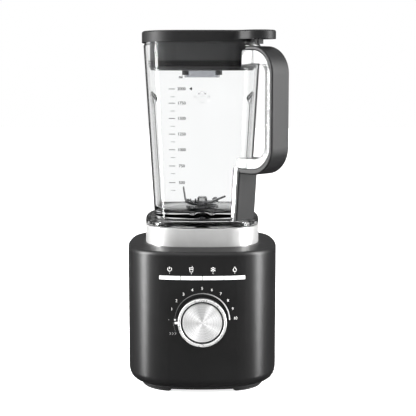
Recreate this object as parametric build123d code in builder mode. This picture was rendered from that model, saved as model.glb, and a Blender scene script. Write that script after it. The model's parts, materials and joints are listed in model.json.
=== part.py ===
from build123d import *
import math
import os

os.makedirs("parts", exist_ok=True)

# Countertop blender. Millimetres, +Z up, origin on the drive axis at the level of the feet.
# The front with the dial looks along -Y; the jar's handle stands at the front right corner.

# ---------------------------------------------------------------- driving dimensions
# Plan shapes are rounded squares made of four shallow side arcs and four corner arcs.
BASE_HALF = 92.0  # half width of the motor base
BASE_BOTTOM_Z, BASE_EDGE_Z, DECK_Z = 7.0, 172.0, 175.5
BASE_WALL = 3.0
COVER_HALF, COVER_Z = 79.0, 3.0
COLLAR_HALF, COLLAR_WALL, COLLAR_TOP = 70.0, 3.2, 197.5
PAD_TOP = 182.5
JAR_FOOT_HALF, FLANGE_HALF = 66.0, 70.0
FLANGE_Z0, FLANGE_Z1 = 198.0, 205.5
JAR_Z0, JAR_Z1 = 205.0, 414.0
JAR_A0, JAR_SLOPE, JAR_WALL = 59.2, 0.05922, 3.8  # half width at z 207, growth per mm, wall
JAR_FLOOR = 214.5
RIM_TOP = 424.0
RIB_R, RIB_TOP = 12.0, 350.0
LID_HALF, LID_Z0, LID_Z1 = 73.4, 417.2, 430.5
PLUG_HALF, PLUG_Z = 64.2, 384.0
CAP_R, CAP_FLANGE_R, CAP_Z = 21.6, 27.0, 375.6
GRIP_T, GRIP_HALF = 5.0, 15.0  # thickness and half width of the soft strip on the handle
STRIP_HALF, STRIP_T = 16.0, 4.2  # the same strip where it runs down the jar's corner
HANDLE_U, HANDLE_TOP, HANDLE_LOW = 123.0, 407.0, 269.5
KNOB_Z, KNOB_R = 91.6, 28.6
BUTTON_Z, BUTTON_W, BUTTON_GAP, BUTTON_H = 142.4, 24.8, 0.7, 4.4
SHAFT_R = 4.0
POST_XY = 50.0
MOUNT_R = 52.0
HALF45 = math.sqrt(0.5)


def jar_a(z):
    """Half width of the jar's outside at height z."""
    return JAR_A0 + (z - 207.0) * JAR_SLOPE


def plan(a, core=27.0, bulge=180.0):
    """Rounded square of half width a in the active line: side arcs of radius a + bulge, corner arcs of radius a - core."""
    big, small, c = a + bulge, a - core, bulge
    k = (-c + math.sqrt(2 * (big - small) ** 2 - c * c)) / 2
    tx = big * k / (big - small)
    ty = big * (c + k) / (big - small) - c
    e = k + small * HALF45
    ring = [
        (tx, -ty), (e, -e), (ty, -tx), (a, 0), (ty, tx), (e, e), (tx, ty), (0, a),
        (-tx, ty), (-e, e), (-ty, tx), (-a, 0), (-ty, -tx), (-e, -e), (-tx, -ty), (0, -a),
    ]
    for i in range(0, 16, 2):
        ThreePointArc(ring[i], ring[i + 1], ring[(i + 2) % 16])


def base_plan(a):
    plan(a, core=34.0, bulge=168.0)


# The handle plane stands at 45 degrees: its x axis is the outward radial direction u, its y axis is height.
handle_plane = Plane(origin=(0, 0, 0), x_dir=(HALF45, -HALF45, 0), z_dir=(-HALF45, -HALF45, 0))
made = {}

# ================================================================ MOTOR BASE
with BuildPart() as housing_cavity:
    with BuildSketch(Plane.XY.offset(BASE_BOTTOM_Z + BASE_WALL)):
        with BuildLine():
            base_plan(BASE_HALF - BASE_WALL)
        make_face()
    extrude(amount=169.0 - BASE_BOTTOM_Z - BASE_WALL)
    fillet(housing_cavity.edges().group_by(Axis.Z)[0], 9.5)
    fillet(housing_cavity.edges().group_by(Axis.Z)[-1], 3.0)

with BuildPart() as base_housing:
    with BuildSketch(Plane.XY.offset(BASE_BOTTOM_Z)):
        with BuildLine():
            base_plan(BASE_HALF)
        make_face()
    extrude(amount=BASE_EDGE_Z - BASE_BOTTOM_Z)
    with BuildSketch(Plane.XY.offset(BASE_EDGE_Z)):
        with BuildLine():
            base_plan(BASE_HALF)
        make_face()
    with BuildSketch(Plane.XY.offset(DECK_Z)):
        with BuildLine():
            base_plan(74.0)
        make_face()
    loft(ruled=True)
    fillet(base_housing.edges().filter_by_position(Axis.Z, BASE_EDGE_Z - 0.01, BASE_EDGE_Z + 0.01), 5.0)
    fillet(base_housing.edges().group_by(Axis.Z)[0], 12.5)
    add(housing_cavity.part, mode=Mode.SUBTRACT)
    # opening for the bottom cover's spigot
    with BuildSketch(Plane.XY.offset(BASE_BOTTOM_Z)):
        with BuildLine():
            base_plan(76.0)
        make_face()
    extrude(amount=6.0, mode=Mode.SUBTRACT)
    # posts for the bottom screws, and shorter ones for the motor's rubber mounts
    with BuildSketch(Plane.XY.offset(12.0)):
        with Locations(*[(x, y) for x in (-POST_XY, POST_XY) for y in (-POST_XY, POST_XY)]):
            Circle(5.5)
    extrude(amount=158.0)
    with BuildSketch(Plane.XY.offset(135.0)):
        with PolarLocations(MOUNT_R, 4):
            Circle(5.5)
    extrude(amount=35.0)
    with BuildSketch(Plane.XY.offset(12.0)):
        with Locations(*[(x, y) for x in (-POST_XY, POST_XY) for y in (-POST_XY, POST_XY)]):
            Circle(2.0)
    extrude(amount=18.0, mode=Mode.SUBTRACT)
    with BuildSketch(Plane.XY.offset(135.0)):
        with PolarLocations(MOUNT_R, 4):
            Circle(2.0)
    extrude(amount=18.0, mode=Mode.SUBTRACT)
    # shaft hole in the deck
    with BuildSketch(Plane.XY.offset(160.0)):
        Circle(7.0)
    extrude(amount=20.0, mode=Mode.SUBTRACT)
    # bosses that carry the two circuit boards
    with BuildSketch(Plane.XZ.offset(77.6)):
        with Locations((-46, 68), (46, 68), (-46, 126), (46, 126)):
            Circle(3.2)
    extrude(amount=8.6)
    with BuildSketch(Plane.XZ.offset(-77.6)):
        with Locations((-40, 60), (40, 60), (-40, 146), (40, 146)):
            Circle(3.2)
    extrude(amount=-8.6)
    with BuildSketch(Plane.XZ.offset(77.6)):
        with Locations((-46, 68), (46, 68), (-46, 126), (46, 126)):
            Circle(1.3)
    extrude(amount=6.0, mode=Mode.SUBTRACT)
    with BuildSketch(Plane.XZ.offset(-77.6)):
        with Locations((-40, 60), (40, 60), (-40, 146), (40, 146)):
            Circle(1.3)
    extrude(amount=-6.0, mode=Mode.SUBTRACT)
    # front wall: slot for the four keys and hole for the speed selector's bush
    with BuildSketch(Plane.XZ.offset(80.0)):
        with Locations((0, BUTTON_Z)):
            RectangleRounded(2 * (2 * BUTTON_W + 1.5 * BUTTON_GAP) + 0.8, BUTTON_H + 0.7, 0.6)
        with Locations((0, KNOB_Z)):
            Circle(4.8)
    extrude(amount=20.0, mode=Mode.SUBTRACT)
    # back wall: cord inlet and a field of cooling slots
    with BuildSketch(Plane.XZ.offset(-80.0)):
        with Locations((0, 32)):
            Circle(8.0)
        with Locations(*[(-31.5 + 7 * i, 118) for i in range(10)]):
            SlotOverall(34, 3.2, rotation=90)
    extrude(amount=-20.0, mode=Mode.SUBTRACT)
made["base_housing"] = base_housing

with BuildPart() as bottom_cover:
    with BuildSketch(Plane.XY.offset(COVER_Z)):
        with BuildLine():
            base_plan(COVER_HALF)
        make_face()
    extrude(amount=BASE_BOTTOM_Z - COVER_Z)
    fillet(bottom_cover.edges().group_by(Axis.Z)[0], 2.0)
    with BuildSketch(Plane.XY.offset(BASE_BOTTOM_Z)):
        with BuildLine():
            base_plan(75.6)
        make_face()
        with BuildLine():
            base_plan(73.0)
        make_face(mode=Mode.SUBTRACT)
    extrude(amount=3.5)
    # air inlet slots under the fan, and counterbored screw holes
    with BuildSketch(Plane.XY.offset(COVER_Z)):
        with PolarLocations(24, 18):
            SlotOverall(18, 3.0)
        with Locations(*[(x, y) for x in (-POST_XY, POST_XY) for y in (-POST_XY, POST_XY)]):
            Circle(2.3)
    extrude(amount=10.0, mode=Mode.SUBTRACT)
    with BuildSketch(Plane.XY.offset(COVER_Z)):
        with Locations(*[(x, y) for x in (-POST_XY, POST_XY) for y in (-POST_XY, POST_XY)]):
            Circle(4.2)
    extrude(amount=2.2, mode=Mode.SUBTRACT)
    # seats between the cover and the housing's posts
    with BuildSketch(Plane.XY.offset(BASE_BOTTOM_Z)):
        with Locations(*[(x, y) for x in (-POST_XY, POST_XY) for y in (-POST_XY, POST_XY)]):
            Circle(5.0)
            Circle(2.3, mode=Mode.SUBTRACT)
    extrude(amount=5.0)
made["bottom_cover"] = bottom_cover

with BuildPart() as bottom_screws:
    with BuildSketch(Plane.XY.offset(3.2)):
        with Locations(*[(x, y) for x in (-POST_XY, POST_XY) for y in (-POST_XY, POST_XY)]):
            Circle(3.8)
    extrude(amount=2.0)
    with BuildSketch(Plane.XY.offset(5.2)):
        with Locations(*[(x, y) for x in (-POST_XY, POST_XY) for y in (-POST_XY, POST_XY)]):
            Circle(1.95)
    extrude(amount=20.0)
    with BuildSketch(Plane.XY.offset(3.2)):
        with Locations(*[(x, y) for x in (-POST_XY, POST_XY) for y in (-POST_XY, POST_XY)]):
            Rectangle(4.6, 0.9)
            Rectangle(0.9, 4.6)
    extrude(amount=1.1, mode=Mode.SUBTRACT)
made["bottom_screws"] = bottom_screws

# one rubber ring: four broad pads along the corners of the cover, joined by narrow webs set further in
with BuildPart() as rubber_feet:
    with BuildSketch(Plane.XY):
        with BuildLine():
            base_plan(76.5)
        make_face()
        with BuildLine():
            base_plan(63.0)
        make_face(mode=Mode.SUBTRACT)
        with Locations((0, 73), (0, -73)):
            Rectangle(76, 14, mode=Mode.SUBTRACT)
        with Locations((73, 0), (-73, 0)):
            Rectangle(14, 76, mode=Mode.SUBTRACT)
    extrude(amount=COVER_Z)
made["rubber_feet"] = rubber_feet

with BuildPart() as base_collar:
    with BuildSketch(Plane.XY.offset(DECK_Z)):
        with BuildLine():
            plan(COLLAR_HALF)
        make_face()
        with BuildLine():
            plan(COLLAR_HALF - COLLAR_WALL)
        make_face(mode=Mode.SUBTRACT)
    extrude(amount=COLLAR_TOP - DECK_Z)
    fillet(base_collar.edges().group_by(Axis.Z)[-1], 0.9)
made["base_collar"] = base_collar

with BuildPart() as jar_pad:
    with BuildSketch(Plane.XY.offset(DECK_Z)):
        with BuildLine():
            plan(COLLAR_HALF - COLLAR_WALL - 0.2)
        make_face()
        Circle(24.0, mode=Mode.SUBTRACT)
    extrude(amount=PAD_TOP - DECK_Z)
    fillet(jar_pad.edges().filter_by(GeomType.CIRCLE).filter_by(lambda e: abs(e.radius - 24.0) < 0.01).group_by(Axis.Z)[-1], 1.5)
    # raised ring that keeps spills off the shaft
    with BuildSketch(Plane.XY.offset(PAD_TOP)):
        Circle(30.0)
        Circle(27.0, mode=Mode.SUBTRACT)
    extrude(amount=2.0)
made["jar_pad"] = jar_pad

# ---------------------------------------------------------------- keys and their switches
with BuildPart() as key_shell:
    with BuildSketch(Plane.XY.offset(BUTTON_Z - BUTTON_H / 2)):
        with BuildLine():
            base_plan(BASE_HALF + 0.5)
        make_face()
        with BuildLine():
            base_plan(87.0)
        make_face(mode=Mode.SUBTRACT)
    extrude(amount=BUTTON_H)
with BuildPart() as key_lip:
    with BuildSketch(Plane.XY.offset(BUTTON_Z - 3.8)):
        with BuildLine():
            base_plan(88.6)
        make_face()
        with BuildLine():
            base_plan(87.0)
        make_face(mode=Mode.SUBTRACT)
    extrude(amount=7.6)

button_names = ["button_power", "button_smoothie", "button_ice_crush", "button_clean"]
button_x = [(-1.5 + i) * (BUTTON_W + BUTTON_GAP) for i in range(4)]

with BuildPart() as button_power:
    add(key_shell.part)
    add(key_lip.part)
    with BuildSketch(Plane.XZ.offset(80.0)):
        with Locations((button_x[0], BUTTON_Z)):
            Rectangle(BUTTON_W, 12)
    extrude(amount=20.0, mode=Mode.INTERSECT)
    with BuildSketch(Plane.XZ.offset(81.4)):
        with Locations((button_x[0] + 3, BUTTON_Z)):
            Rectangle(8, 3.4)
    extrude(amount=3.4)
made["button_power"] = button_power

with BuildPart() as button_smoothie:
    add(key_shell.part)
    add(key_lip.part)
    with BuildSketch(Plane.XZ.offset(80.0)):
        with Locations((button_x[1], BUTTON_Z)):
            Rectangle(BUTTON_W, 12)
    extrude(amount=20.0, mode=Mode.INTERSECT)
    with BuildSketch(Plane.XZ.offset(81.4)):
        with Locations((button_x[1], BUTTON_Z)):
            Rectangle(8, 3.4)
    extrude(amount=6.0)
made["button_smoothie"] = button_smoothie

with BuildPart() as button_ice_crush:
    add(key_shell.part)
    add(key_lip.part)
    with BuildSketch(Plane.XZ.offset(80.0)):
        with Locations((button_x[2], BUTTON_Z)):
            Rectangle(BUTTON_W, 12)
    extrude(amount=20.0, mode=Mode.INTERSECT)
    with BuildSketch(Plane.XZ.offset(81.4)):
        with Locations((button_x[2], BUTTON_Z)):
            Rectangle(8, 3.4)
    extrude(amount=6.0)
made["button_ice_crush"] = button_ice_crush

with BuildPart() as button_clean:
    add(key_shell.part)
    add(key_lip.part)
    with BuildSketch(Plane.XZ.offset(80.0)):
        with Locations((button_x[3], BUTTON_Z)):
            Rectangle(BUTTON_W, 12)
    extrude(amount=20.0, mode=Mode.INTERSECT)
    with BuildSketch(Plane.XZ.offset(81.4)):
        with Locations((button_x[3] - 3, BUTTON_Z)):
            Rectangle(8, 3.4)
    extrude(amount=3.4)
made["button_clean"] = button_clean

switch_x = [button_x[0] + 3, button_x[1], button_x[2], button_x[3] - 3]
with BuildPart() as button_switches:
    with BuildSketch(Plane.XZ.offset(77.6)):
        with Locations(*[(x, BUTTON_Z) for x in switch_x]):
            Rectangle(6, 6)
    extrude(amount=2.0)
    with BuildSketch(Plane.XZ.offset(79.6)):
        with Locations(*[(x, BUTTON_Z) for x in switch_x]):
            Circle(1.3)
    extrude(amount=0.7)
made["button_switches"] = button_switches

with BuildPart() as control_board:
    with BuildSketch(Plane.XZ.offset(76.0)):
        with Locations((0, 106)):
            RectangleRounded(106, 88, 3)
        with Locations((-46, 68), (46, 68), (-46, 126), (46, 126)):
            Circle(1.6, mode=Mode.SUBTRACT)
    extrude(amount=1.6)
    # controller chip and connector on the back of the board
    with BuildSketch(Plane.XZ.offset(73.5)):
        with Locations((-24, 100)):
            Rectangle(14, 14)
    extrude(amount=2.5)
    with BuildSketch(Plane.XZ.offset(69.0)):
        with Locations((26, 76)):
            Rectangle(18, 7)
    extrude(amount=7.0)
made["control_board"] = control_board

with BuildPart() as board_screws:
    with BuildSketch(Plane.XZ.offset(74.2)):
        with Locations((-46, 68), (46, 68), (-46, 126), (46, 126)):
            Circle(2.6)
    extrude(amount=1.8)
    with BuildSketch(Plane.XZ.offset(76.0)):
        with Locations((-46, 68), (46, 68), (-46, 126), (46, 126)):
            Circle(1.2)
    extrude(amount=6.0)
    with BuildSketch(Plane.XZ.offset(-76.0)):
        with Locations((-40, 60), (40, 60), (-40, 146), (40, 146)):
            Circle(2.6)
    extrude(amount=1.8)
    with BuildSketch(Plane.XZ.offset(-76.0)):
        with Locations((-40, 60), (40, 60), (-40, 146), (40, 146)):
            Circle(1.2)
    extrude(amount=-6.0)
made["board_screws"] = board_screws

# ---------------------------------------------------------------- speed selector and dial
with BuildPart() as speed_encoder:
    with BuildSketch(Plane.XZ.offset(77.6)):
        with Locations((0, KNOB_Z)):
            Rectangle(15, 15)
    extrude(amount=6.6)
    with BuildSketch(Plane.XZ.offset(84.2)):
        with Locations((0, KNOB_Z)):
            Circle(4.5)
    extrude(amount=11.2)
    with BuildSketch(Plane.XZ.offset(82.0)):
        with Locations((0, KNOB_Z)):
            Circle(3.06)
    extrude(amount=20.0, mode=Mode.SUBTRACT)
made["speed_encoder"] = speed_encoder

with BuildPart() as encoder_nut:
    with BuildSketch(Plane.XZ.offset(92.1)):
        with Locations((0, KNOB_Z)):
            RegularPolygon(6.5, 6)
            Circle(4.5, mode=Mode.SUBTRACT)
    extrude(amount=2.4)
made["encoder_nut"] = encoder_nut

with BuildPart() as knob_shaft:
    with BuildSketch(Plane.XZ.offset(82.4)):
        with Locations((0, KNOB_Z)):
            Circle(3.0)
    extrude(amount=19.6)
made["knob_shaft"] = knob_shaft

with BuildPart() as knob_body:
    with BuildSketch(Plane.XZ.offset(93.4)):
        with Locations((0, KNOB_Z)):
            Circle(28.0)
    extrude(amount=9.6)
    chamfer(knob_body.edges().group_by(Axis.Y)[-1], 0.6)
    with BuildSketch(Plane.XZ.offset(93.0)):
        with Locations((0, KNOB_Z)):
            Circle(25.6)
    extrude(amount=7.4, mode=Mode.SUBTRACT)
    with BuildSketch(Plane.XZ.offset(96.4)):
        with Locations((0, KNOB_Z)):
            Circle(6.0)
    extrude(amount=5.0)
    with BuildSketch(Plane.XZ.offset(93.0)):
        with Locations((0, KNOB_Z)):
            Circle(3.0)
    extrude(amount=9.0, mode=Mode.SUBTRACT)
made["knob_body"] = knob_body

with BuildPart() as knob_ring:
    with BuildSketch(Plane.XZ.offset(103.0)):
        with Locations((0, KNOB_Z)):
            Circle(KNOB_R)
            Circle(25.4, mode=Mode.SUBTRACT)
    extrude(amount=3.4)
    fillet(knob_ring.edges().group_by(Axis.Y)[0], 1.0)
made["knob_ring"] = knob_ring

with BuildPart() as knob_face:
    with BuildSketch(Plane.XZ.offset(103.0)):
        with Locations((0, KNOB_Z)):
            Circle(23.3)
    extrude(amount=2.2)
    chamfer(knob_face.edges().group_by(Axis.Y)[0], 1.1)
made["knob_face"] = knob_face

with BuildPart() as knob_pointer:
    with BuildSketch(Plane.XZ.offset(103.2)):
        with Locations((-30.35, KNOB_Z)):
            Rectangle(3.5, 1.9)
    extrude(amount=2.6)
made["knob_pointer"] = knob_pointer

# ---------------------------------------------------------------- motor, from the fan at the bottom to the drive gear on the deck
with BuildPart() as motor_shaft:
    with BuildSketch(Plane.XY.offset(11.0)):
        Circle(SHAFT_R)
    extrude(amount=178.0)
    with BuildSketch(Plane.XY.offset(184.0)):
        with Locations((0, 4.2)):
            Rectangle(8, 1.6)
    extrude(amount=6.0, mode=Mode.SUBTRACT)
made["motor_shaft"] = motor_shaft

with BuildPart() as cooling_fan:
    with BuildSketch(Plane.XY.offset(14.0)):
        Circle(9.0)
    extrude(amount=18.0)
    with BuildSketch(Plane.XY.offset(30.0)):
        Circle(39.0)
    extrude(amount=2.0)
    with BuildSketch(Plane.XY.offset(15.0)):
        with PolarLocations(26.0, 13):
            Rectangle(23.0, 1.6, rotation=28)
    extrude(amount=15.0)
    with BuildSketch(Plane.XY.offset(10.0)):
        Circle(SHAFT_R)
    extrude(amount=30.0, mode=Mode.SUBTRACT)
made["cooling_fan"] = cooling_fan

with BuildPart() as fan_shroud:
    with BuildSketch(Plane.XY.offset(BASE_BOTTOM_Z)):
        Circle(44.0)
        Circle(41.5, mode=Mode.SUBTRACT)
    extrude(amount=27.0)
made["fan_shroud"] = fan_shroud

TIE = [(x, y) for x in (-38, 38) for y in (-14, 14)]
with BuildPart() as motor_lower_bracket:
    with BuildSketch(Plane.XY.offset(42.0)):
        Circle(44.0)
        with PolarLocations(27.0, 6, start_angle=30):
            Circle(7.0, mode=Mode.SUBTRACT)
    extrude(amount=4.0)
    with BuildSketch(Plane.XY.offset(37.0)):
        Circle(14.5)
    extrude(amount=9.0)
    with BuildSketch(Plane.XY.offset(46.0)):
        with Locations(*TIE):
            Circle(4.6)
    extrude(amount=26.0)
    with BuildSketch(Plane.XY.offset(39.0)):
        Circle(11.0)
    extrude(amount=20.0, mode=Mode.SUBTRACT)
    with BuildSketch(Plane.XY.offset(30.0)):
        Circle(6.0)
        with Locations(*TIE):
            Circle(2.1)
    extrude(amount=60.0, mode=Mode.SUBTRACT)
made["motor_lower_bracket"] = motor_lower_bracket

with BuildPart() as motor_upper_bracket:
    with BuildSketch(Plane.XY.offset(128.0)):
        Circle(43.0)
        Rectangle(116.0, 13.0)
        Rectangle(13.0, 116.0)
        with PolarLocations(27.0, 6, start_angle=30):
            Circle(7.0, mode=Mode.SUBTRACT)
        with PolarLocations(MOUNT_R, 4):
            Circle(4.0, mode=Mode.SUBTRACT)
    extrude(amount=4.0)
    with BuildSketch(Plane.XY.offset(126.0)):
        Circle(14.5)
    extrude(amount=11.0)
    with BuildSketch(Plane.XY.offset(112.0)):
        with Locations(*TIE):
            Circle(4.6)
    extrude(amount=16.0)
    with BuildSketch(Plane.XY.offset(110.0)):
        Circle(11.0)
    extrude(amount=25.0, mode=Mode.SUBTRACT)
    with BuildSketch(Plane.XY.offset(110.0)):
        Circle(6.0)
        with Locations(*TIE):
            Circle(2.1)
    extrude(amount=60.0, mode=Mode.SUBTRACT)
made["motor_upper_bracket"] = motor_upper_bracket

with BuildPart() as motor_bearings:
    with BuildSketch(Plane.XY.offset(39.0)):
        Circle(11.0)
        Circle(SHAFT_R + 0.03, mode=Mode.SUBTRACT)
    extrude(amount=7.0)
    with BuildSketch(Plane.XY.offset(128.0)):
        Circle(11.0)
        Circle(SHAFT_R + 0.03, mode=Mode.SUBTRACT)
    extrude(amount=7.0)
    with BuildSketch(Plane.XY.offset(45.4)):
        Circle(9.2)
        Circle(5.8, mode=Mode.SUBTRACT)
    extrude(amount=2.0, mode=Mode.SUBTRACT)
    with BuildSketch(Plane.XY.offset(128.0)):
        Circle(9.2)
        Circle(5.8, mode=Mode.SUBTRACT)
    extrude(amount=0.6, mode=Mode.SUBTRACT)
made["motor_bearings"] = motor_bearings

with BuildPart() as field_stator:
    with BuildSketch(Plane.XY.offset(72.0)):
        RectangleRounded(86, 86, 9)
        Circle(25.2, mode=Mode.SUBTRACT)
        with Locations(*[(x, y) for x in (-29, 29) for y in (-32, 32)]):
            Rectangle(10.6, 10.6, mode=Mode.SUBTRACT)
        with Locations((-29, 0), (29, 0)):
            Rectangle(8, 54, mode=Mode.SUBTRACT)
        with Locations(*TIE):
            Circle(2.1, mode=Mode.SUBTRACT)
    extrude(amount=40.0)
made["field_stator"] = field_stator

with BuildPart() as field_coils:
    with BuildSketch(Plane.XZ.offset(27.0)):
        with Locations((0, 92)):
            RectangleRounded(68, 58, 5)
            RectangleRounded(48, 42, 1.0, mode=Mode.SUBTRACT)
    extrude(amount=10.0)
    with BuildSketch(Plane.XZ.offset(-27.0)):
        with Locations((0, 92)):
            RectangleRounded(68, 58, 5)
            RectangleRounded(48, 42, 1.0, mode=Mode.SUBTRACT)
    extrude(amount=-10.0)
made["field_coils"] = field_coils

with BuildPart() as armature_core:
    with BuildSketch(Plane.XY.offset(72.0)):
        Circle(24.5)
        with PolarLocations(20.5, 12):
            SlotOverall(6.5, 3.0, mode=Mode.SUBTRACT)
        with PolarLocations(24.0, 12):
            Rectangle(3.0, 1.4, mode=Mode.SUBTRACT)
        Circle(SHAFT_R, mode=Mode.SUBTRACT)
    extrude(amount=40.0)
made["armature_core"] = armature_core

with BuildPart() as armature_windings:
    with BuildSketch(Plane.XY.offset(65.0)):
        Circle(21.5)
        Circle(8.0, mode=Mode.SUBTRACT)
    extrude(amount=7.0)
    fillet(armature_windings.edges().group_by(Axis.Z)[0], 3.0)
    with BuildSketch(Plane.XY.offset(112.0)):
        Circle(21.5)
        Circle(8.0, mode=Mode.SUBTRACT)
    extrude(amount=8.0)
    fillet(armature_windings.edges().group_by(Axis.Z)[-1], 3.0)
made["armature_windings"] = armature_windings

with BuildPart() as commutator:
    with BuildSketch(Plane.XY.offset(50.0)):
        Circle(12.5)
        with PolarLocations(12.5, 24):
            Rectangle(2.4, 0.5, mode=Mode.SUBTRACT)
        Circle(SHAFT_R, mode=Mode.SUBTRACT)
    extrude(amount=12.0)
made["commutator"] = commutator

with BuildPart() as carbon_brushes:
    with BuildSketch(Plane.YZ.offset(12.8)):
        with Locations((0, 56)):
            Rectangle(6, 8)
    extrude(amount=14.0)
    with BuildSketch(Plane.YZ.offset(-12.8)):
        with Locations((0, 56)):
            Rectangle(6, 8)
    extrude(amount=-14.0)
made["carbon_brushes"] = carbon_brushes

with BuildPart() as brush_holders:
    with BuildSketch(Plane.YZ.offset(15.0)):
        with Locations((0, 56)):
            Rectangle(8.4, 10.4)
            Rectangle(6.2, 8.2, mode=Mode.SUBTRACT)
    extrude(amount=22.0)
    with BuildSketch(Plane.YZ.offset(-15.0)):
        with Locations((0, 56)):
            Rectangle(8.4, 10.4)
            Rectangle(6.2, 8.2, mode=Mode.SUBTRACT)
    extrude(amount=-22.0)
    # end caps behind the springs, and feet down to the lower bracket
    with BuildSketch(Plane.YZ.offset(35.6)):
        with Locations((0, 56)):
            Rectangle(8.4, 10.4)
    extrude(amount=1.4)
    with BuildSketch(Plane.YZ.offset(-35.6)):
        with Locations((0, 56)):
            Rectangle(8.4, 10.4)
    extrude(amount=-1.4)
    with BuildSketch(Plane.XY.offset(46.0)):
        with Locations((26, 0), (-26, 0)):
            Rectangle(8, 8)
    extrude(amount=4.8)
made["brush_holders"] = brush_holders

# closely wound springs, drawn as a ridged sleeve
with BuildPart() as brush_springs:
    with BuildSketch(Plane.YZ.offset(27.0)):
        with Locations((0, 56)):
            Circle(2.2)
            Circle(1.6, mode=Mode.SUBTRACT)
    extrude(amount=8.4)
    for i in range(6):
        with BuildSketch(Plane.YZ.offset(27.4 + 1.4 * i)):
            with Locations((0, 56)):
                Circle(2.6)
                Circle(1.6, mode=Mode.SUBTRACT)
        extrude(amount=0.7)
    mirror(brush_springs.part, about=Plane.YZ)
made["brush_springs"] = brush_springs

with BuildPart() as motor_tie_bolts:
    with BuildSketch(Plane.XY.offset(38.5)):
        with Locations(*TIE):
            RegularPolygon(4.0, 6)
    extrude(amount=3.5)
    with BuildSketch(Plane.XY.offset(42.0)):
        with Locations(*TIE):
            Circle(2.0)
    extrude(amount=95.0)
    with BuildSketch(Plane.XY.offset(132.0)):
        with Locations(*TIE):
            RegularPolygon(4.0, 6)
    extrude(amount=3.0)
made["motor_tie_bolts"] = motor_tie_bolts

with BuildPart() as motor_mount_grommets:
    with BuildSketch(Plane.XY.offset(125.0)):
        with PolarLocations(MOUNT_R, 4):
            Circle(6.2)
            Circle(2.1, mode=Mode.SUBTRACT)
    extrude(amount=3.0)
    with BuildSketch(Plane.XY.offset(128.0)):
        with PolarLocations(MOUNT_R, 4):
            Circle(4.0)
            Circle(2.1, mode=Mode.SUBTRACT)
    extrude(amount=4.0)
    with BuildSketch(Plane.XY.offset(132.0)):
        with PolarLocations(MOUNT_R, 4):
            Circle(6.2)
            Circle(2.1, mode=Mode.SUBTRACT)
    extrude(amount=3.0)
made["motor_mount_grommets"] = motor_mount_grommets

with BuildPart() as motor_mount_screws:
    with BuildSketch(Plane.XY.offset(122.6)):
        with PolarLocations(MOUNT_R, 4):
            Circle(4.4)
    extrude(amount=2.4)
    with BuildSketch(Plane.XY.offset(125.0)):
        with PolarLocations(MOUNT_R, 4):
            Circle(1.95)
    extrude(amount=25.0)
made["motor_mount_screws"] = motor_mount_screws

with BuildPart() as drive_gear:
    with BuildSketch(Plane.XY.offset(178.0)):
        Circle(8.0)
    extrude(amount=6.0)
    with BuildSketch(Plane.XY.offset(184.0)):
        Circle(12.0)
        with PolarLocations(13.0, 12):
            Rectangle(4.6, 3.0)
    extrude(amount=7.5)
    with BuildSketch(Plane.XY.offset(177.0)):
        Circle(SHAFT_R)
    extrude(amount=12.2, mode=Mode.SUBTRACT)
made["drive_gear"] = drive_gear

with BuildPart() as shaft_slinger:
    with BuildSketch(Plane.XY.offset(176.2)):
        Circle(15.0)
        Circle(SHAFT_R, mode=Mode.SUBTRACT)
    extrude(amount=1.6)
made["shaft_slinger"] = shaft_slinger

# ---------------------------------------------------------------- mains side
with BuildPart() as power_board:
    with BuildSketch(Plane.XZ.offset(-77.6)):
        with Locations((0, 103)):
            RectangleRounded(90, 100, 3)
        with Locations((-40, 60), (40, 60), (-40, 146), (40, 146)):
            Circle(1.6, mode=Mode.SUBTRACT)
    extrude(amount=1.6)
    with BuildSketch(Plane.XZ.offset(-76.0)):
        with Locations((-22, 84)):
            Circle(9.0)
    extrude(amount=20.0)
    with BuildSketch(Plane.XZ.offset(-76.0)):
        with Locations((14, 78)):
            Rectangle(28, 16)
    extrude(amount=16.0)
made["power_board"] = power_board

with BuildPart() as heat_sink:
    with BuildSketch(Plane.XZ.offset(-76.0)):
        with Locations((0, 122)):
            Rectangle(50, 30)
    extrude(amount=3.0)
    with BuildSketch(Plane.XZ.offset(-73.0)):
        with Locations(*[(-22.5 + 7.5 * i, 122) for i in range(7)]):
            Rectangle(1.6, 30)
    extrude(amount=12.0)
made["heat_sink"] = heat_sink

with BuildPart() as cord_gland:
    with BuildSketch(Plane.XZ.offset(-83.5)):
        with Locations((0, 32)):
            Circle(7.9)
    extrude(amount=-9.0)
    with BuildSketch(Plane.XZ.offset(-92.1)):
        with Locations((0, 32)):
            Circle(10.5)
    extrude(amount=-3.0)
    fillet(cord_gland.edges().group_by(Axis.Y)[-1], 1.2)
    with BuildSketch(Plane.XZ.offset(-85.5)):
        with Locations((0, 32)):
            Circle(9.6)
    extrude(amount=-3.2)
    with BuildSketch(Plane.XZ.offset(-80.0)):
        with Locations((0, 32)):
            Circle(3.8)
    extrude(amount=-20.0, mode=Mode.SUBTRACT)
made["cord_gland"] = cord_gland

# ================================================================ JAR
# Ribs pressed into the middle of each side: a round ridge with a domed top, parallel to the wall.
def rib_y(z):
    return -(jar_a(z) + 2.0)


RIB_LEAN = math.degrees(math.atan(JAR_SLOPE))
RIB_LENGTH = 154.0
RIB_MID_Z = RIB_TOP - RIB_LENGTH / 2 * math.cos(math.radians(RIB_LEAN))

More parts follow.
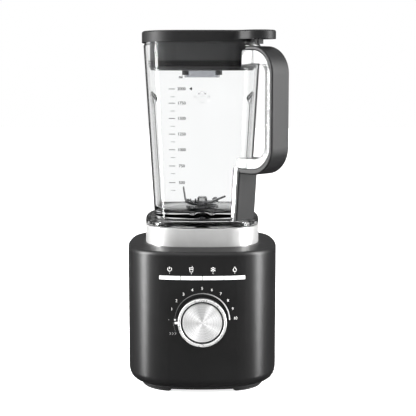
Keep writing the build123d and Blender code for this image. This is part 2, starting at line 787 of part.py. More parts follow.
with BuildPart() as rib_ridge:
    with Locations(Location((0, rib_y(RIB_MID_Z), RIB_MID_Z), (RIB_LEAN, 0, 0))):
        Cylinder(RIB_R, RIB_LENGTH)
    with Locations((0, rib_y(RIB_TOP), RIB_TOP)):
        Sphere(RIB_R)
with BuildPart() as rib_groove:
    with Locations(Location((0, rib_y(285.0), 285.0), (RIB_LEAN, 0, 0))):
        Cylinder(RIB_R - 3.6, 130.0)
    with Locations((0, rib_y(285.0 + 65 * math.cos(math.radians(RIB_LEAN))), 285.0 + 65 * math.cos(math.radians(RIB_LEAN)))):
        Sphere(RIB_R - 3.6)
    with Locations((0, rib_y(285.0 - 65 * math.cos(math.radians(RIB_LEAN))), 285.0 - 65 * math.cos(math.radians(RIB_LEAN)))):
        Sphere(RIB_R - 3.6)

with BuildPart() as jar_cavity:
    with BuildSketch(Plane.XY.offset(JAR_FLOOR)):
        with BuildLine():
            plan(jar_a(JAR_FLOOR) - JAR_WALL)
        make_face()
    with BuildSketch(Plane.XY.offset(JAR_Z1)):
        with BuildLine():
            plan(jar_a(JAR_Z1) - JAR_WALL)
        make_face()
    loft(ruled=True)
    fillet(jar_cavity.edges().group_by(Axis.Z)[0], 7.0)
    with BuildSketch(Plane.XY.offset(JAR_Z1)):
        with BuildLine():
            plan(jar_a(JAR_Z1) - JAR_WALL)
        make_face()
    extrude(amount=20.0)
    with PolarLocations(0, 4):
        add(rib_ridge.part, mode=Mode.SUBTRACT)

with BuildPart() as jar_outer:
    with BuildSketch(Plane.XY.offset(JAR_Z0)):
        with BuildLine():
            plan(jar_a(JAR_Z0))
        make_face()
    with BuildSketch(Plane.XY.offset(JAR_Z1)):
        with BuildLine():
            plan(jar_a(JAR_Z1))
        make_face()
    loft(ruled=True)


def wall_u(z, inset):
    """Radial position of the jar's corner at height z, inset mm inside its surface."""
    k = (-180.0 + math.sqrt(2 * 207.0**2 - 180.0**2)) / 2
    return (k + (jar_a(z) - 27.0) * HALF45) / HALF45 - inset


with BuildPart() as handle_core:
    with BuildSketch(handle_plane):
        with BuildLine():
            Polyline((wall_u(HANDLE_TOP, 1.9), HANDLE_TOP), (HANDLE_U - 27, HANDLE_TOP))
            ThreePointArc(
                (HANDLE_U - 27, HANDLE_TOP),
                (HANDLE_U - 27 + 27 * HALF45, HANDLE_TOP - 27 + 27 * HALF45),
                (HANDLE_U, HANDLE_TOP - 27),
            )
            Line((HANDLE_U, HANDLE_TOP - 27), (HANDLE_U, HANDLE_LOW + 27))
            ThreePointArc(
                (HANDLE_U, HANDLE_LOW + 27),
                (HANDLE_U - 27 + 27 * HALF45, HANDLE_LOW + 27 - 27 * HALF45),
                (HANDLE_U - 27, HANDLE_LOW),
            )
            Polyline(
                (HANDLE_U - 27, HANDLE_LOW),
                (wall_u(HANDLE_LOW, 1.9), HANDLE_LOW),
                (wall_u(280.0, 1.9), 280.0),
                (98.0, 280.0),
            )
            ThreePointArc((98.0, 280.0), (98.0 + 18.5 * HALF45, 298.5 - 18.5 * HALF45), (116.5, 298.5))
            Line((116.5, 298.5), (116.5, 381.0))
            ThreePointArc((116.5, 381.0), (106.0 + 10.5 * HALF45, 381.0 + 10.5 * HALF45), (106.0, 391.5))
            Polyline((106.0, 391.5), (wall_u(391.5, 1.9), 391.5), (wall_u(HANDLE_TOP, 1.9), HANDLE_TOP))
        make_face()
    extrude(amount=GRIP_HALF - 1.0, both=True)
    core_edges = handle_core.edges().filter_by(lambda e: 110.0 < (e.center().X - e.center().Y) * HALF45 < 117.0 and abs(abs(e.center().X + e.center().Y) * HALF45 - 14.0) < 0.2)
    fillet(core_edges, 2.0)

def strip_u(z, inset):
    """Radial position of the strip's outside where it runs down the corner, inset mm inside it."""
    return 73.8 + (z - 205.0) * 0.0763 - inset


# raised bar on the jar's corner that carries the lower part of the strip
with BuildPart() as corner_bar:
    with BuildSketch(handle_plane):
        with BuildLine():
            Polyline(
                (wall_u(206.0, 3.4), 205.5),
                (strip_u(205.5, STRIP_T), 205.5),
                (strip_u(HANDLE_LOW, STRIP_T), HANDLE_LOW),
                (wall_u(280.0, 3.4), 280.0),
                (wall_u(206.0, 3.4), 205.5),
            )
        make_face()
    extrude(amount=STRIP_HALF, both=True)

with BuildPart() as jar_vessel:
    with BuildSketch(Plane.XY.offset(PAD_TOP)):
        with BuildLine():
            plan(JAR_FOOT_HALF)
        make_face()
    extrude(amount=FLANGE_Z0 - PAD_TOP)
    with BuildSketch(Plane.XY.offset(FLANGE_Z0)):
        with BuildLine():
            plan(FLANGE_HALF)
        make_face()
    extrude(amount=FLANGE_Z1 - FLANGE_Z0)
    fillet(jar_vessel.edges().group_by(Axis.Z)[-1], 3.5)
    add(jar_outer.part)
    # straight rim that the lid's skirt covers
    with BuildSketch(Plane.XY.offset(JAR_Z1)):
        with BuildLine():
            plan(70.4)
        make_face()
    extrude(amount=RIM_TOP - JAR_Z1)
    with PolarLocations(0, 4):
        add(rib_groove.part, mode=Mode.SUBTRACT)
    add(handle_core.part)
    add(corner_bar.part)
    add(jar_cavity.part, mode=Mode.SUBTRACT)
    # hollow foot, open below, and the hole for the blade carrier
    with BuildSketch(Plane.XY.offset(PAD_TOP)):
        with BuildLine():
            plan(JAR_FOOT_HALF - 3.2)
        make_face()
    extrude(amount=FLANGE_Z0 - PAD_TOP, mode=Mode.SUBTRACT)
    with BuildSketch(Plane.XY.offset(FLANGE_Z0)):
        with BuildLine():
            plan(54.0)
        make_face()
    extrude(amount=8.5, mode=Mode.SUBTRACT)
    with BuildSketch(Plane.XY.offset(200.0)):
        Circle(15.1)
    extrude(amount=20.0, mode=Mode.SUBTRACT)
made["jar_vessel"] = jar_vessel

# soft strip: over the outside of the handle and down the jar's corner
with BuildPart() as corner_strip:
    with BuildSketch(handle_plane):
        with BuildLine():
            Polyline(
                (strip_u(206.0, STRIP_T), 206.0),
                (strip_u(206.0, 0), 206.0),
                (strip_u(266.0, 0), 266.0),
                (strip_u(266.0, STRIP_T), 266.0),
                (strip_u(206.0, STRIP_T), 206.0),
            )
        make_face()
    extrude(amount=STRIP_HALF, both=True)
    strip_edges = corner_strip.edges().filter_by(lambda e: e.length > 50).sort_by(lambda e: e.center().X - e.center().Y)[-2:]
    fillet(strip_edges, 2.0)

with BuildPart() as handle_grip:
    with BuildSketch(handle_plane):
        with BuildLine():
            Polyline((86.0, HANDLE_TOP + GRIP_T - 2.0), (90.0, HANDLE_TOP + GRIP_T), (HANDLE_U - 27, HANDLE_TOP + GRIP_T))
            ThreePointArc(
                (HANDLE_U - 27, HANDLE_TOP + GRIP_T),
                (HANDLE_U - 27 + 32 * HALF45, HANDLE_TOP - 27 + 32 * HALF45),
                (HANDLE_U + GRIP_T, HANDLE_TOP - 27),
            )
            Line((HANDLE_U + GRIP_T, HANDLE_TOP - 27), (HANDLE_U + GRIP_T, HANDLE_LOW + 25))
            ThreePointArc(
                (HANDLE_U + GRIP_T, HANDLE_LOW + 25),
                (HANDLE_U + GRIP_T - 32 + 32 * HALF45, HANDLE_LOW + 25 - 32 * HALF45),
                (HANDLE_U + GRIP_T - 32, HANDLE_LOW - 7),
            )
            Polyline(
                (HANDLE_U + GRIP_T - 32, HANDLE_LOW - 7),
                (strip_u(HANDLE_LOW - 7, STRIP_T), HANDLE_LOW - 7),
                (strip_u(HANDLE_LOW, STRIP_T), HANDLE_LOW),
                (HANDLE_U - 27, HANDLE_LOW),
            )
            ThreePointArc(
                (HANDLE_U - 27, HANDLE_LOW),
                (HANDLE_U - 27 + 27 * HALF45, HANDLE_LOW + 27 - 27 * HALF45),
                (HANDLE_U, HANDLE_LOW + 27),
            )
            Line((HANDLE_U, HANDLE_LOW + 27), (HANDLE_U, HANDLE_TOP - 27))
            ThreePointArc(
                (HANDLE_U, HANDLE_TOP - 27),
                (HANDLE_U - 27 + 27 * HALF45, HANDLE_TOP - 27 + 27 * HALF45),
                (HANDLE_U - 27, HANDLE_TOP),
            )
            Polyline((HANDLE_U - 27, HANDLE_TOP), (86.0, HANDLE_TOP), (86.0, HANDLE_TOP + GRIP_T - 2.0))
        make_face()
    extrude(amount=GRIP_HALF, both=True)
    grip_edges = handle_grip.edges().filter_by(
        lambda e: abs(abs(e.center().X + e.center().Y) * HALF45 - GRIP_HALF) < 0.2
        and e.length > 8.0
        and (
            (e.center().X - e.center().Y) * HALF45 > HANDLE_U + GRIP_T - 6.2
            or e.center().Z > HANDLE_TOP + GRIP_T - 0.1
            or e.center().Z < HANDLE_LOW - 6.9
        )
    )
    fillet(grip_edges, 2.0)
    add(corner_strip.part)
made["handle_grip"] = handle_grip

# ---------------------------------------------------------------- blade unit
with BuildPart() as blade_carrier:
    with BuildSketch(Plane.XY.offset(JAR_FLOOR)):
        Circle(20.0)
    extrude(amount=3.0)
    fillet(blade_carrier.edges().group_by(Axis.Z)[-1], 1.2)
    with BuildSketch(Plane.XY.offset(200.0)):
        Circle(15.0)
    extrude(amount=14.5)
    with BuildSketch(Plane.XY.offset(199.5)):
        Circle(9.0)
    extrude(amount=17.0, mode=Mode.SUBTRACT)
    with BuildSketch(Plane.XY.offset(199.5)):
        Circle(6.0)
    extrude(amount=20.0, mode=Mode.SUBTRACT)
made["blade_carrier"] = blade_carrier

with BuildPart() as carrier_nut:
    with BuildSketch(Plane.XY.offset(203.3)):
        Circle(46.0)
        Circle(15.0, mode=Mode.SUBTRACT)
    extrude(amount=3.2)
    with BuildSketch(Plane.XY.offset(200.6)):
        Circle(46.0)
        Circle(43.0, mode=Mode.SUBTRACT)
        with PolarLocations(44.5, 8):
            Rectangle(5.0, 9.0, mode=Mode.SUBTRACT)
    extrude(amount=2.7)
    with BuildSketch(Plane.XY.offset(201.0)):
        RegularPolygon(21.0, 6)
        Circle(15.0, mode=Mode.SUBTRACT)
    extrude(amount=2.3)
made["carrier_nut"] = carrier_nut

with BuildPart() as blade_bearings:
    with BuildSketch(Plane.XY.offset(200.4)):
        Circle(9.0)
        Circle(SHAFT_R + 0.03, mode=Mode.SUBTRACT)
    extrude(amount=5.0)
    with BuildSketch(Plane.XY.offset(209.0)):
        Circle(9.0)
        Circle(SHAFT_R + 0.03, mode=Mode.SUBTRACT)
    extrude(amount=5.0)
made["blade_bearings"] = blade_bearings

with BuildPart() as shaft_seal:
    with BuildSketch(Plane.XY.offset(214.0)):
        Circle(9.0)
        Circle(SHAFT_R + 0.05, mode=Mode.SUBTRACT)
    extrude(amount=2.5)
    with BuildSketch(Plane.XY.offset(216.5)):
        Circle(6.0)
        Circle(SHAFT_R + 0.05, mode=Mode.SUBTRACT)
    extrude(amount=1.6)
made["shaft_seal"] = shaft_seal

with BuildPart() as blade_shaft:
    with BuildSketch(Plane.XY.offset(195.0)):
        Circle(SHAFT_R)
    extrude(amount=31.6)
made["blade_shaft"] = blade_shaft

with BuildPart() as drive_socket:
    with BuildSketch(Plane.XY.offset(185.5)):
        Circle(19.0)
    extrude(amount=10.0)
    fillet(drive_socket.edges().group_by(Axis.Z)[-1], 1.5)
    with BuildSketch(Plane.XY.offset(195.5)):
        Circle(7.5)
    extrude(amount=4.2)
    with BuildSketch(Plane.XY.offset(185.5)):
        Circle(12.5)
        with PolarLocations(13.2, 12):
            Rectangle(5.2, 4.0)
    extrude(amount=6.8, mode=Mode.SUBTRACT)
    with BuildSketch(Plane.XY.offset(195.0)):
        Circle(SHAFT_R)
    extrude(amount=10.0, mode=Mode.SUBTRACT)
made["drive_socket"] = drive_socket

# lower blade: two flat wings that dip towards the floor
with BuildPart() as blade_lower:
    with BuildSketch(Plane.XZ.offset(-8.0)):
        with BuildLine():
            Polyline(
                (-38, 225.6), (-34, 224.0), (-16, 218.6), (16, 218.6), (34, 218.0), (37, 221.6),
                (36.6, 223.8), (33.2, 219.6), (16, 220.4), (-16, 220.4), (-34, 225.8), (-37.4, 227.2), close=True,
            )
        make_face()
    extrude(amount=16.0)
    with BuildSketch(Plane.XY.offset(210.0)):
        with BuildLine():
            Polyline((-37, 1), (-35, 5), (-14, 7), (0, 8), (14, 7), (36, 3), (37, -1), (34, -5), (14, -7), (0, -8), (-14, -7), (-37, -3), close=True)
        make_face()
    extrude(amount=30.0, mode=Mode.INTERSECT)
    with BuildSketch(Plane.XY.offset(210.0)):
        Circle(SHAFT_R)
    extrude(amount=30.0, mode=Mode.SUBTRACT)
    # saw teeth standing on the trailing edges
    for tooth_x in (-29.0, -25.0, -21.0):
        with Locations((tooth_x, 4.7, 220.6 - 0.3 * (tooth_x + 20.0))):
            Box(1.6, 1.3, 4.6, align=(Align.CENTER, Align.CENTER, Align.MIN))
    for tooth_x in (20.0, 24.0, 28.0):
        with Locations((tooth_x, -4.7, 219.3)):
            Box(1.6, 1.3, 4.6, align=(Align.CENTER, Align.CENTER, Align.MIN))
with BuildPart() as blade_lower_turned:
    with Locations(Location((0, 0, 0), (0, 0, 62))):
        add(blade_lower.part)
made["blade_lower"] = blade_lower_turned

# upper blade: one wing bent nearly upright, the other rising gently
with BuildPart() as blade_upper:
    with BuildSketch(Plane.XZ.offset(-8.0)):
        with BuildLine():
            Polyline(
                (-23.9, 240.2), (-22.7, 240.6), (-20.3, 225.4), (-18.2, 222.8), (11.0, 222.8),
                (28.6, 229.6), (29.4, 228.0), (11.6, 221.0), (-18.6, 221.0), (-21.6, 224.4), close=True,
            )
        make_face()
    extrude(amount=16.0)
    with BuildSketch(Plane.XY.offset(210.0)):
        with BuildLine():
            Polyline((-24, 4), (-17, 6.5), (0, 7.5), (12, 6.5), (26, 5), (29.5, 1), (29.5, -3), (12, -6.5), (0, -7.5), (-17, -6.5), (-24, -5), close=True)
        make_face()
    extrude(amount=36.0, mode=Mode.INTERSECT)
    with BuildSketch(Plane.XY.offset(210.0)):
        Circle(SHAFT_R)
    extrude(amount=30.0, mode=Mode.SUBTRACT)
    # saw teeth along the front edge
    for tooth_x in (-17.0, -14.2, -9.0):
        with Locations((tooth_x, -5.6, 222.6)):
            Box(1.6, 1.4, 3.4, align=(Align.CENTER, Align.CENTER, Align.MIN))
with BuildPart() as blade_upper_turned:
    with Locations(Location((0, 0, 0), (0, 0, -3))):
        add(blade_upper.part)
made["blade_upper"] = blade_upper_turned

with BuildPart() as blade_spacer:
    with BuildSketch(Plane.XY.offset(220.4)):
        Circle(7.0)
        Circle(SHAFT_R, mode=Mode.SUBTRACT)
    extrude(amount=0.6)
made["blade_spacer"] = blade_spacer

with BuildPart() as blade_nut:
    with BuildSketch(Plane.XY.offset(222.8)):
        RegularPolygon(7.2, 6)
    extrude(amount=3.8)
    with BuildSketch(Plane.XY.offset(226.6)):
        Circle(6.0)
    extrude(amount=1.8)
    fillet(blade_nut.edges().group_by(Axis.Z)[-1], 1.4)
    with BuildSketch(Plane.XY.offset(222.0)):
        Circle(SHAFT_R)
    extrude(amount=4.6, mode=Mode.SUBTRACT)
made["blade_nut"] = blade_nut

# ================================================================ LID
with BuildPart() as lid_cover:
    with BuildSketch(Plane.XY.offset(LID_Z0)):
        with BuildLine():
            plan(LID_HALF)
        make_face()
    extrude(amount=3.0)
    with BuildSketch(Plane.XY.offset(LID_Z0 + 3.0)):
        with BuildLine():
            plan(LID_HALF)
        make_face()
        with Locations((74.8 * HALF45, -74.8 * HALF45)):
            Rectangle(37.0, 40.0, rotation=-45)
        with Locations((93.3 * HALF45, -93.3 * HALF45)):
            Circle(20.0)
    extrude(amount=LID_Z1 - LID_Z0 - 3.0)
    tab_roots = lid_cover.edges().filter_by(Axis.Z).filter_by(
        lambda e: abs(abs(e.center().X + e.center().Y) * HALF45 - 20.0) < 0.05
        and 60.0 < (e.center().X - e.center().Y) * HALF45 < 88.0
    )
    fillet(tab_roots, 12.0)
    fillet(lid_cover.edges().group_by(Axis.Z)[-1], 2.4)
    with BuildSketch(Plane.XY.offset(LID_Z0)):
        with BuildLine():
            plan(71.0)
        make_face()
    extrude(amount=10.3, mode=Mode.SUBTRACT)
    with BuildSketch(Plane.XY.offset(LID_Z0)):
        Circle(CAP_FLANGE_R + 0.4)
    extrude(amount=20.0, mode=Mode.SUBTRACT)
    # stiffening block under the tab
    with BuildSketch(Plane.XY.offset(414.6)):
        with Locations((93.3 * HALF45, -93.3 * HALF45)):
            RectangleRounded(7.0, 10.0, 1.5, rotation=-45)
    extrude(amount=6.0)
made["lid_cover"] = lid_cover

with BuildPart() as lid_plug:
    with BuildSketch(Plane.XY.offset(RIM_TOP)):
        with BuildLine():
            plan(70.6)
        make_face()
    extrude(amount=3.5)
    with BuildSketch(Plane.XY.offset(PLUG_Z)):
        with BuildLine():
            plan(PLUG_HALF)
        make_face()
    extrude(amount=RIM_TOP - PLUG_Z)
    fillet(lid_plug.edges().group_by(Axis.Z)[0], 3.0)
    with BuildSketch(Plane.XY.offset(PLUG_Z + 2.6)):
        with BuildLine():
            plan(PLUG_HALF - 2.6)
        make_face()
        Circle(24.6, mode=Mode.SUBTRACT)
    extrude(amount=60.0, mode=Mode.SUBTRACT)
    with BuildSketch(Plane.XY.offset(424.4)):
        Circle(30.5)
    extrude(amount=3.1)
    # two lugs hang below the plug at the sides of the filler hole
    with BuildSketch(Plane.XY.offset(378.6)):
        Circle(24.6)
        with Locations((0, 27), (0, -27)):
            Rectangle(60, 30, mode=Mode.SUBTRACT)
    extrude(amount=7.0)
    with BuildSketch(Plane.XY.offset(370.0)):
        Circle(22.0)
    extrude(amount=70.0, mode=Mode.SUBTRACT)
    # groove for the seal
    with BuildSketch(Plane.XY.offset(388.5)):
        with BuildLine():
            plan(PLUG_HALF + 2.0)
        make_face()
        with BuildLine():
            plan(PLUG_HALF - 1.0)
        make_face(mode=Mode.SUBTRACT)
    extrude(amount=7.0, mode=Mode.SUBTRACT)
made["lid_plug"] = lid_plug

with BuildPart() as lid_gasket:
    with BuildSketch(Plane.XY.offset(388.5)):
        with BuildLine():
            plan(65.75)
        make_face()
        with BuildLine():
            plan(PLUG_HALF - 1.0)
        make_face(mode=Mode.SUBTRACT)
    extrude(amount=7.0)
    with BuildSketch(Plane.XY.offset(390.0)):
        with BuildLine():
            plan(67.0)
        make_face()
        with BuildLine():
            plan(63.8)
        make_face(mode=Mode.SUBTRACT)
    extrude(amount=1.3, mode=Mode.SUBTRACT)
    with BuildSketch(Plane.XY.offset(392.7)):
        with BuildLine():
            plan(67.0)
        make_face()
        with BuildLine():
            plan(63.8)
        make_face(mode=Mode.SUBTRACT)
    extrude(amount=1.3, mode=Mode.SUBTRACT)
made["lid_gasket"] = lid_gasket

with BuildPart() as center_cap:
    with BuildSketch(Plane.XY.offset(CAP_Z)):
        Circle(CAP_R)
    extrude(amount=428.0 - CAP_Z)
    with BuildSketch(Plane.XY.offset(427.5)):
        Circle(CAP_FLANGE_R)
    extrude(amount=2.9)
    fillet(center_cap.edges().group_by(Axis.Z)[-1], 1.2)
    # measuring cup, open below
    with BuildSketch(Plane.XY.offset(CAP_Z)):
        Circle(CAP_R - 2.2)
    extrude(amount=39.0, mode=Mode.SUBTRACT)
    # finger well with a grip bar across it
    with BuildSketch(Plane.XY.offset(417.0)):
        Circle(CAP_R - 2.2)
        Rectangle(50, 6.0, mode=Mode.SUBTRACT)
    extrude(amount=20.0, mode=Mode.SUBTRACT)
    # groove for its seal
    with BuildSketch(Plane.XY.offset(421.0)):
        Circle(24.0)
        Circle(CAP_R - 0.7, mode=Mode.SUBTRACT)
    extrude(amount=2.0, mode=Mode.SUBTRACT)
made["center_cap"] = center_cap

with BuildPart() as cap_gasket:
    with BuildSketch(Plane.XY.offset(421.0)):
        Circle(21.9)
        Circle(CAP_R - 0.7, mode=Mode.SUBTRACT)
    extrude(amount=2.0)
made["cap_gasket"] = cap_gasket

for name, builder in made.items():
    builder.part.label = name
    export_step(builder.part, f"parts/{name}.step")
print(len(made), "parts written")
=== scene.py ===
import json
import math

import bmesh
import bpy
from mathutils import Matrix, Vector


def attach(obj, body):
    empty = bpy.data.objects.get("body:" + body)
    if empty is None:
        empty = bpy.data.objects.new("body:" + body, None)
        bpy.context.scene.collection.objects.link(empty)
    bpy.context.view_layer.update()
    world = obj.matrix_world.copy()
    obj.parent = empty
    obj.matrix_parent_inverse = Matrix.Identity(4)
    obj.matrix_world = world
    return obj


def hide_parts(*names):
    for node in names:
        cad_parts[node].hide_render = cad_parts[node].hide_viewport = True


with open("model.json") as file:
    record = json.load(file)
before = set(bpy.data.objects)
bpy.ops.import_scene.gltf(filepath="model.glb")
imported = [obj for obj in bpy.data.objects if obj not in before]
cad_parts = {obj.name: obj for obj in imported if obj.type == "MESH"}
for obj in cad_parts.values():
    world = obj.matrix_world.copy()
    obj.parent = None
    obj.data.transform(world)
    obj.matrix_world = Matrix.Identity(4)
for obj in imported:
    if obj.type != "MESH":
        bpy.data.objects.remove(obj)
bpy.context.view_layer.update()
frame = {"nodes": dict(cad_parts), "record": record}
NODES = frame["nodes"]
MM = 0.001
H45 = math.sqrt(0.5)

scene = bpy.context.scene
scene.view_settings.view_transform = "Standard"
scene.view_settings.look = "None"


# ------------------------------------------------------------------ material kit
class Mat:
    """A small helper round one node material."""

    def __init__(self, name):
        self.m = bpy.data.materials.new(name)
        self.m.use_nodes = True
        self.t = self.m.node_tree
        self.t.nodes.clear()
        self.out = self.t.nodes.new("ShaderNodeOutputMaterial")
        self.b = self.t.nodes.new("ShaderNodeBsdfPrincipled")
        self.t.links.new(self.b.outputs[0], self.out.inputs[0])
        self.co = self.t.nodes.new("ShaderNodeTexCoord")

    def set(self, **kw):
        for k, v in kw.items():
            self.b.inputs[k.replace("_", " ")].default_value = v
        return self

    def link(self, a, b):
        self.t.links.new(a, b)

    def mapping(self, scale=(1, 1, 1), loc=(0, 0, 0), rot=(0, 0, 0)):
        n = self.t.nodes.new("ShaderNodeMapping")
        n.inputs["Scale"].default_value = scale
        n.inputs["Location"].default_value = loc
        n.inputs["Rotation"].default_value = rot
        self.link(self.co.outputs["Object"], n.inputs["Vector"])
        return n.outputs[0]

    def noise(self, scale, detail=3.0, rough=0.5, vec=None):
        n = self.t.nodes.new("ShaderNodeTexNoise")
        n.inputs["Scale"].default_value = scale
        n.inputs["Detail"].default_value = detail
        n.inputs["Roughness"].default_value = rough
        self.link(vec if vec else self.co.outputs["Object"], n.inputs["Vector"])
        return n.outputs["Fac"]

    def ramp(self, fac, stops):
        n = self.t.nodes.new("ShaderNodeValToRGB")
        el = n.color_ramp.elements
        while len(el) > 1:
            el.remove(el[0])
        el[0].position, el[0].color = stops[0][0], col(stops[0][1])
        for p, c in stops[1:]:
            e = el.new(p)
            e.color = col(c)
        self.link(fac, n.inputs["Fac"])
        return n.outputs["Color"]

    def bump(self, fac, strength, distance=0.0002, normal=None):
        n = self.t.nodes.new("ShaderNodeBump")
        n.inputs["Strength"].default_value = strength
        n.inputs["Distance"].default_value = distance
        self.link(fac, n.inputs["Height"])
        if normal:
            self.link(normal, n.inputs["Normal"])
        return n.outputs[0]

    def range(self, fac, lo, hi, flo=0.3, fhi=0.7):
        n = self.t.nodes.new("ShaderNodeMapRange")
        n.inputs["From Min"].default_value = flo
        n.inputs["From Max"].default_value = fhi
        n.inputs["To Min"].default_value = lo
        n.inputs["To Max"].default_value = hi
        self.link(fac, n.inputs["Value"])
        return n.outputs[0]

    def color(self, sock):
        self.link(sock, self.b.inputs["Base Color"])
        return self

    def rough(self, sock):
        self.link(sock, self.b.inputs["Roughness"])
        return self

    def normal(self, sock):
        self.link(sock, self.b.inputs["Normal"])
        return self


def col(c):
    if isinstance(c, (int, float)):
        c = (c, c, c)
    return (c[0], c[1], c[2], 1.0)


def plastic(name, c, rough=0.45, vary=0.12, grain=900.0, bump=0.12, spec=0.5, coat=0.0, sheen=0.0):
    """Moulded plastic: fine spark-eroded grain, faint cloudiness in colour and in roughness."""
    m = Mat(name)
    m.set(Specular_IOR_Level=spec, Coat_Weight=coat, Coat_Roughness=0.15, Sheen_Weight=sheen, Sheen_Roughness=0.5)
    big = m.noise(28.0, 4.0)
    lo = tuple(x * (1 - vary) for x in c)
    hi = tuple(min(1, x * (1 + vary)) for x in c)
    m.color(m.ramp(big, [(0.32, lo), (0.68, hi)]))
    m.rough(m.range(m.noise(160.0, 3.0), rough - 0.012, rough + 0.014))
    m.normal(m.bump(m.noise(grain * 3.0, 2.0), bump, 0.00006))
    return m


def rubber(name, c, rough=0.75):
    m = Mat(name)
    m.set(Specular_IOR_Level=0.35, Sheen_Weight=0.15, Sheen_Roughness=0.4)
    m.color(m.ramp(m.noise(45.0, 5.0), [(0.3, tuple(x * 0.82 for x in c)), (0.7, tuple(x * 1.15 for x in c))]))
    m.rough(m.range(m.noise(220.0), rough - 0.08, rough + 0.08))
    m.normal(m.bump(m.noise(1500.0, 3.0), 0.25, 0.00008))
    return m


def metal(name, c, rough=0.3, vary=0.06, brush=None, blast=0.0, aniso=0.0):
    """Metal with a cloudy tone; brush stretches the grain along one axis and blast gives a pebbled skin."""
    m = Mat(name)
    m.set(Metallic=1.0, Anisotropic=aniso)
    m.color(m.ramp(m.noise(35.0, 4.0), [(0.3, tuple(x * (1 - vary) for x in c)), (0.7, tuple(min(1, x * (1 + vary)) for x in c))]))
    vec = m.mapping(scale=brush) if brush else None
    m.rough(m.range(m.noise(220.0 if not brush else 60.0, 4.0, vec=vec), max(0.02, rough - 0.07), rough + 0.08))
    fine = m.noise(2600.0 if blast else 400.0, 3.0, vec=vec)
    m.normal(m.bump(fine, 0.12, 0.00004 if blast else 0.00003))
    return m


M = {}
M["housing_black"] = plastic("housing_soft_black", (0.0062, 0.0061, 0.0063), rough=0.39, grain=700, bump=0.08, spec=0.40)
M["cover_black"] = plastic("cover_black", (0.014, 0.014, 0.0145), rough=0.6, grain=600, bump=0.2)
M["screw_steel"] = metal("screw_steel", (0.50, 0.49, 0.46), rough=0.34)
M["rubber_black"] = rubber("rubber_black", (0.016, 0.016, 0.0165))
M["collar_silver"] = metal("collar_bead_blasted", (0.56, 0.56, 0.555), rough=0.38, blast=1.0)
M["collar_silver"].set(Metallic=0.62)
M["pad_black"] = rubber("pad_black", (0.02, 0.02, 0.021), rough=0.7)
M["key_silver"] = plastic("key_satin_silver", (0.80, 0.80, 0.79), rough=0.28, vary=0.03, bump=0.04, spec=0.6, coat=0.3)
M["switch_black"] = plastic("switch_black", (0.02, 0.02, 0.02), rough=0.35)
M["board_green"] = plastic("board_green", (0.012, 0.085, 0.035), rough=0.25, coat=0.5, bump=0.03)
M["encoder_metal"] = metal("encoder_metal", (0.46, 0.46, 0.47), rough=0.3)
M["knob_black"] = plastic("knob_black", (0.022, 0.022, 0.023), rough=0.32, bump=0.05)
M["mark_white"] = plastic("mark_white", (0.82, 0.82, 0.81), rough=0.4, vary=0.03, bump=0.03)
M["shaft_steel"] = metal("shaft_ground_steel", (0.50, 0.50, 0.50), rough=0.22, brush=(1, 1, 12))
M["fan_plastic"] = plastic("fan_plastic", (0.05, 0.05, 0.053), rough=0.5)
M["cast_aluminium"] = metal("cast_aluminium", (0.45, 0.45, 0.45), rough=0.5, blast=1.0)
M["bearing_steel"] = metal("bearing_steel", (0.55, 0.55, 0.56), rough=0.15)
M["laminated_steel"] = metal("laminated_steel", (0.20, 0.20, 0.21), rough=0.42, brush=(0.05, 0.05, 40))
M["copper_wire"] = metal("copper_winding", (0.50, 0.17, 0.06), rough=0.3, brush=(2, 30, 30))
M["commutator_copper"] = metal("commutator_copper", (0.62, 0.28, 0.13), rough=0.2)
M["carbon"] = plastic("carbon", (0.02, 0.02, 0.02), rough=0.55, bump=0.4)
M["brass_holder"] = metal("brass_holder", (0.60, 0.43, 0.15), rough=0.28)
M["gear_black"] = plastic("gear_black", (0.022, 0.022, 0.023), rough=0.4, bump=0.15)
M["grip_black"] = plastic("grip_soft_black", (0.0095, 0.0095, 0.0098), rough=0.46, grain=600, bump=0.12, spec=0.26)
M["carrier_steel"] = metal("carrier_steel", (0.26, 0.26, 0.265), rough=0.28)
M["blade_steel"] = metal("blade_steel", (0.15, 0.15, 0.155), rough=0.26, brush=(1, 14, 1))
M["lid_grey"] = plastic("lid_charcoal", (0.0088, 0.0088, 0.0091), rough=0.50, grain=500, bump=0.08, spec=0.24)
M["gasket_grey"] = rubber("gasket_silicone", (0.010, 0.010, 0.0105), rough=0.5)


def clear(name, tint, ior=1.5, rough=0.012, streak=0.004):
    """Clear moulded plastic: a trace of tint, moulding streaks in the roughness and very faint flow lines."""
    m = Mat(name)
    m.set(Base_Color=(*tint, 1.0), Transmission_Weight=1.0, IOR=ior, Specular_IOR_Level=0.5, Specular_Tint=(0.16, 0.16, 0.16, 1.0))
    m.color(m.ramp(m.noise(14.0, 2.0), [(0.3, tuple(x * 0.985 for x in tint)), (0.7, tint)]))
    m.rough(m.range(m.noise(60.0, 3.0, vec=m.mapping(scale=(1, 1, 0.15))), rough, rough + streak))
    m.normal(m.bump(m.noise(22.0, 1.0, vec=m.mapping(scale=(1, 1, 0.3))), 0.05, 0.00012))
    return m


M["jar_clear"] = clear("jar_clear", (0.985, 0.99, 0.99), ior=1.47)
M["cap_clear"] = clear("cap_smoked", (0.62, 0.63, 0.65), ior=1.47, rough=0.05)


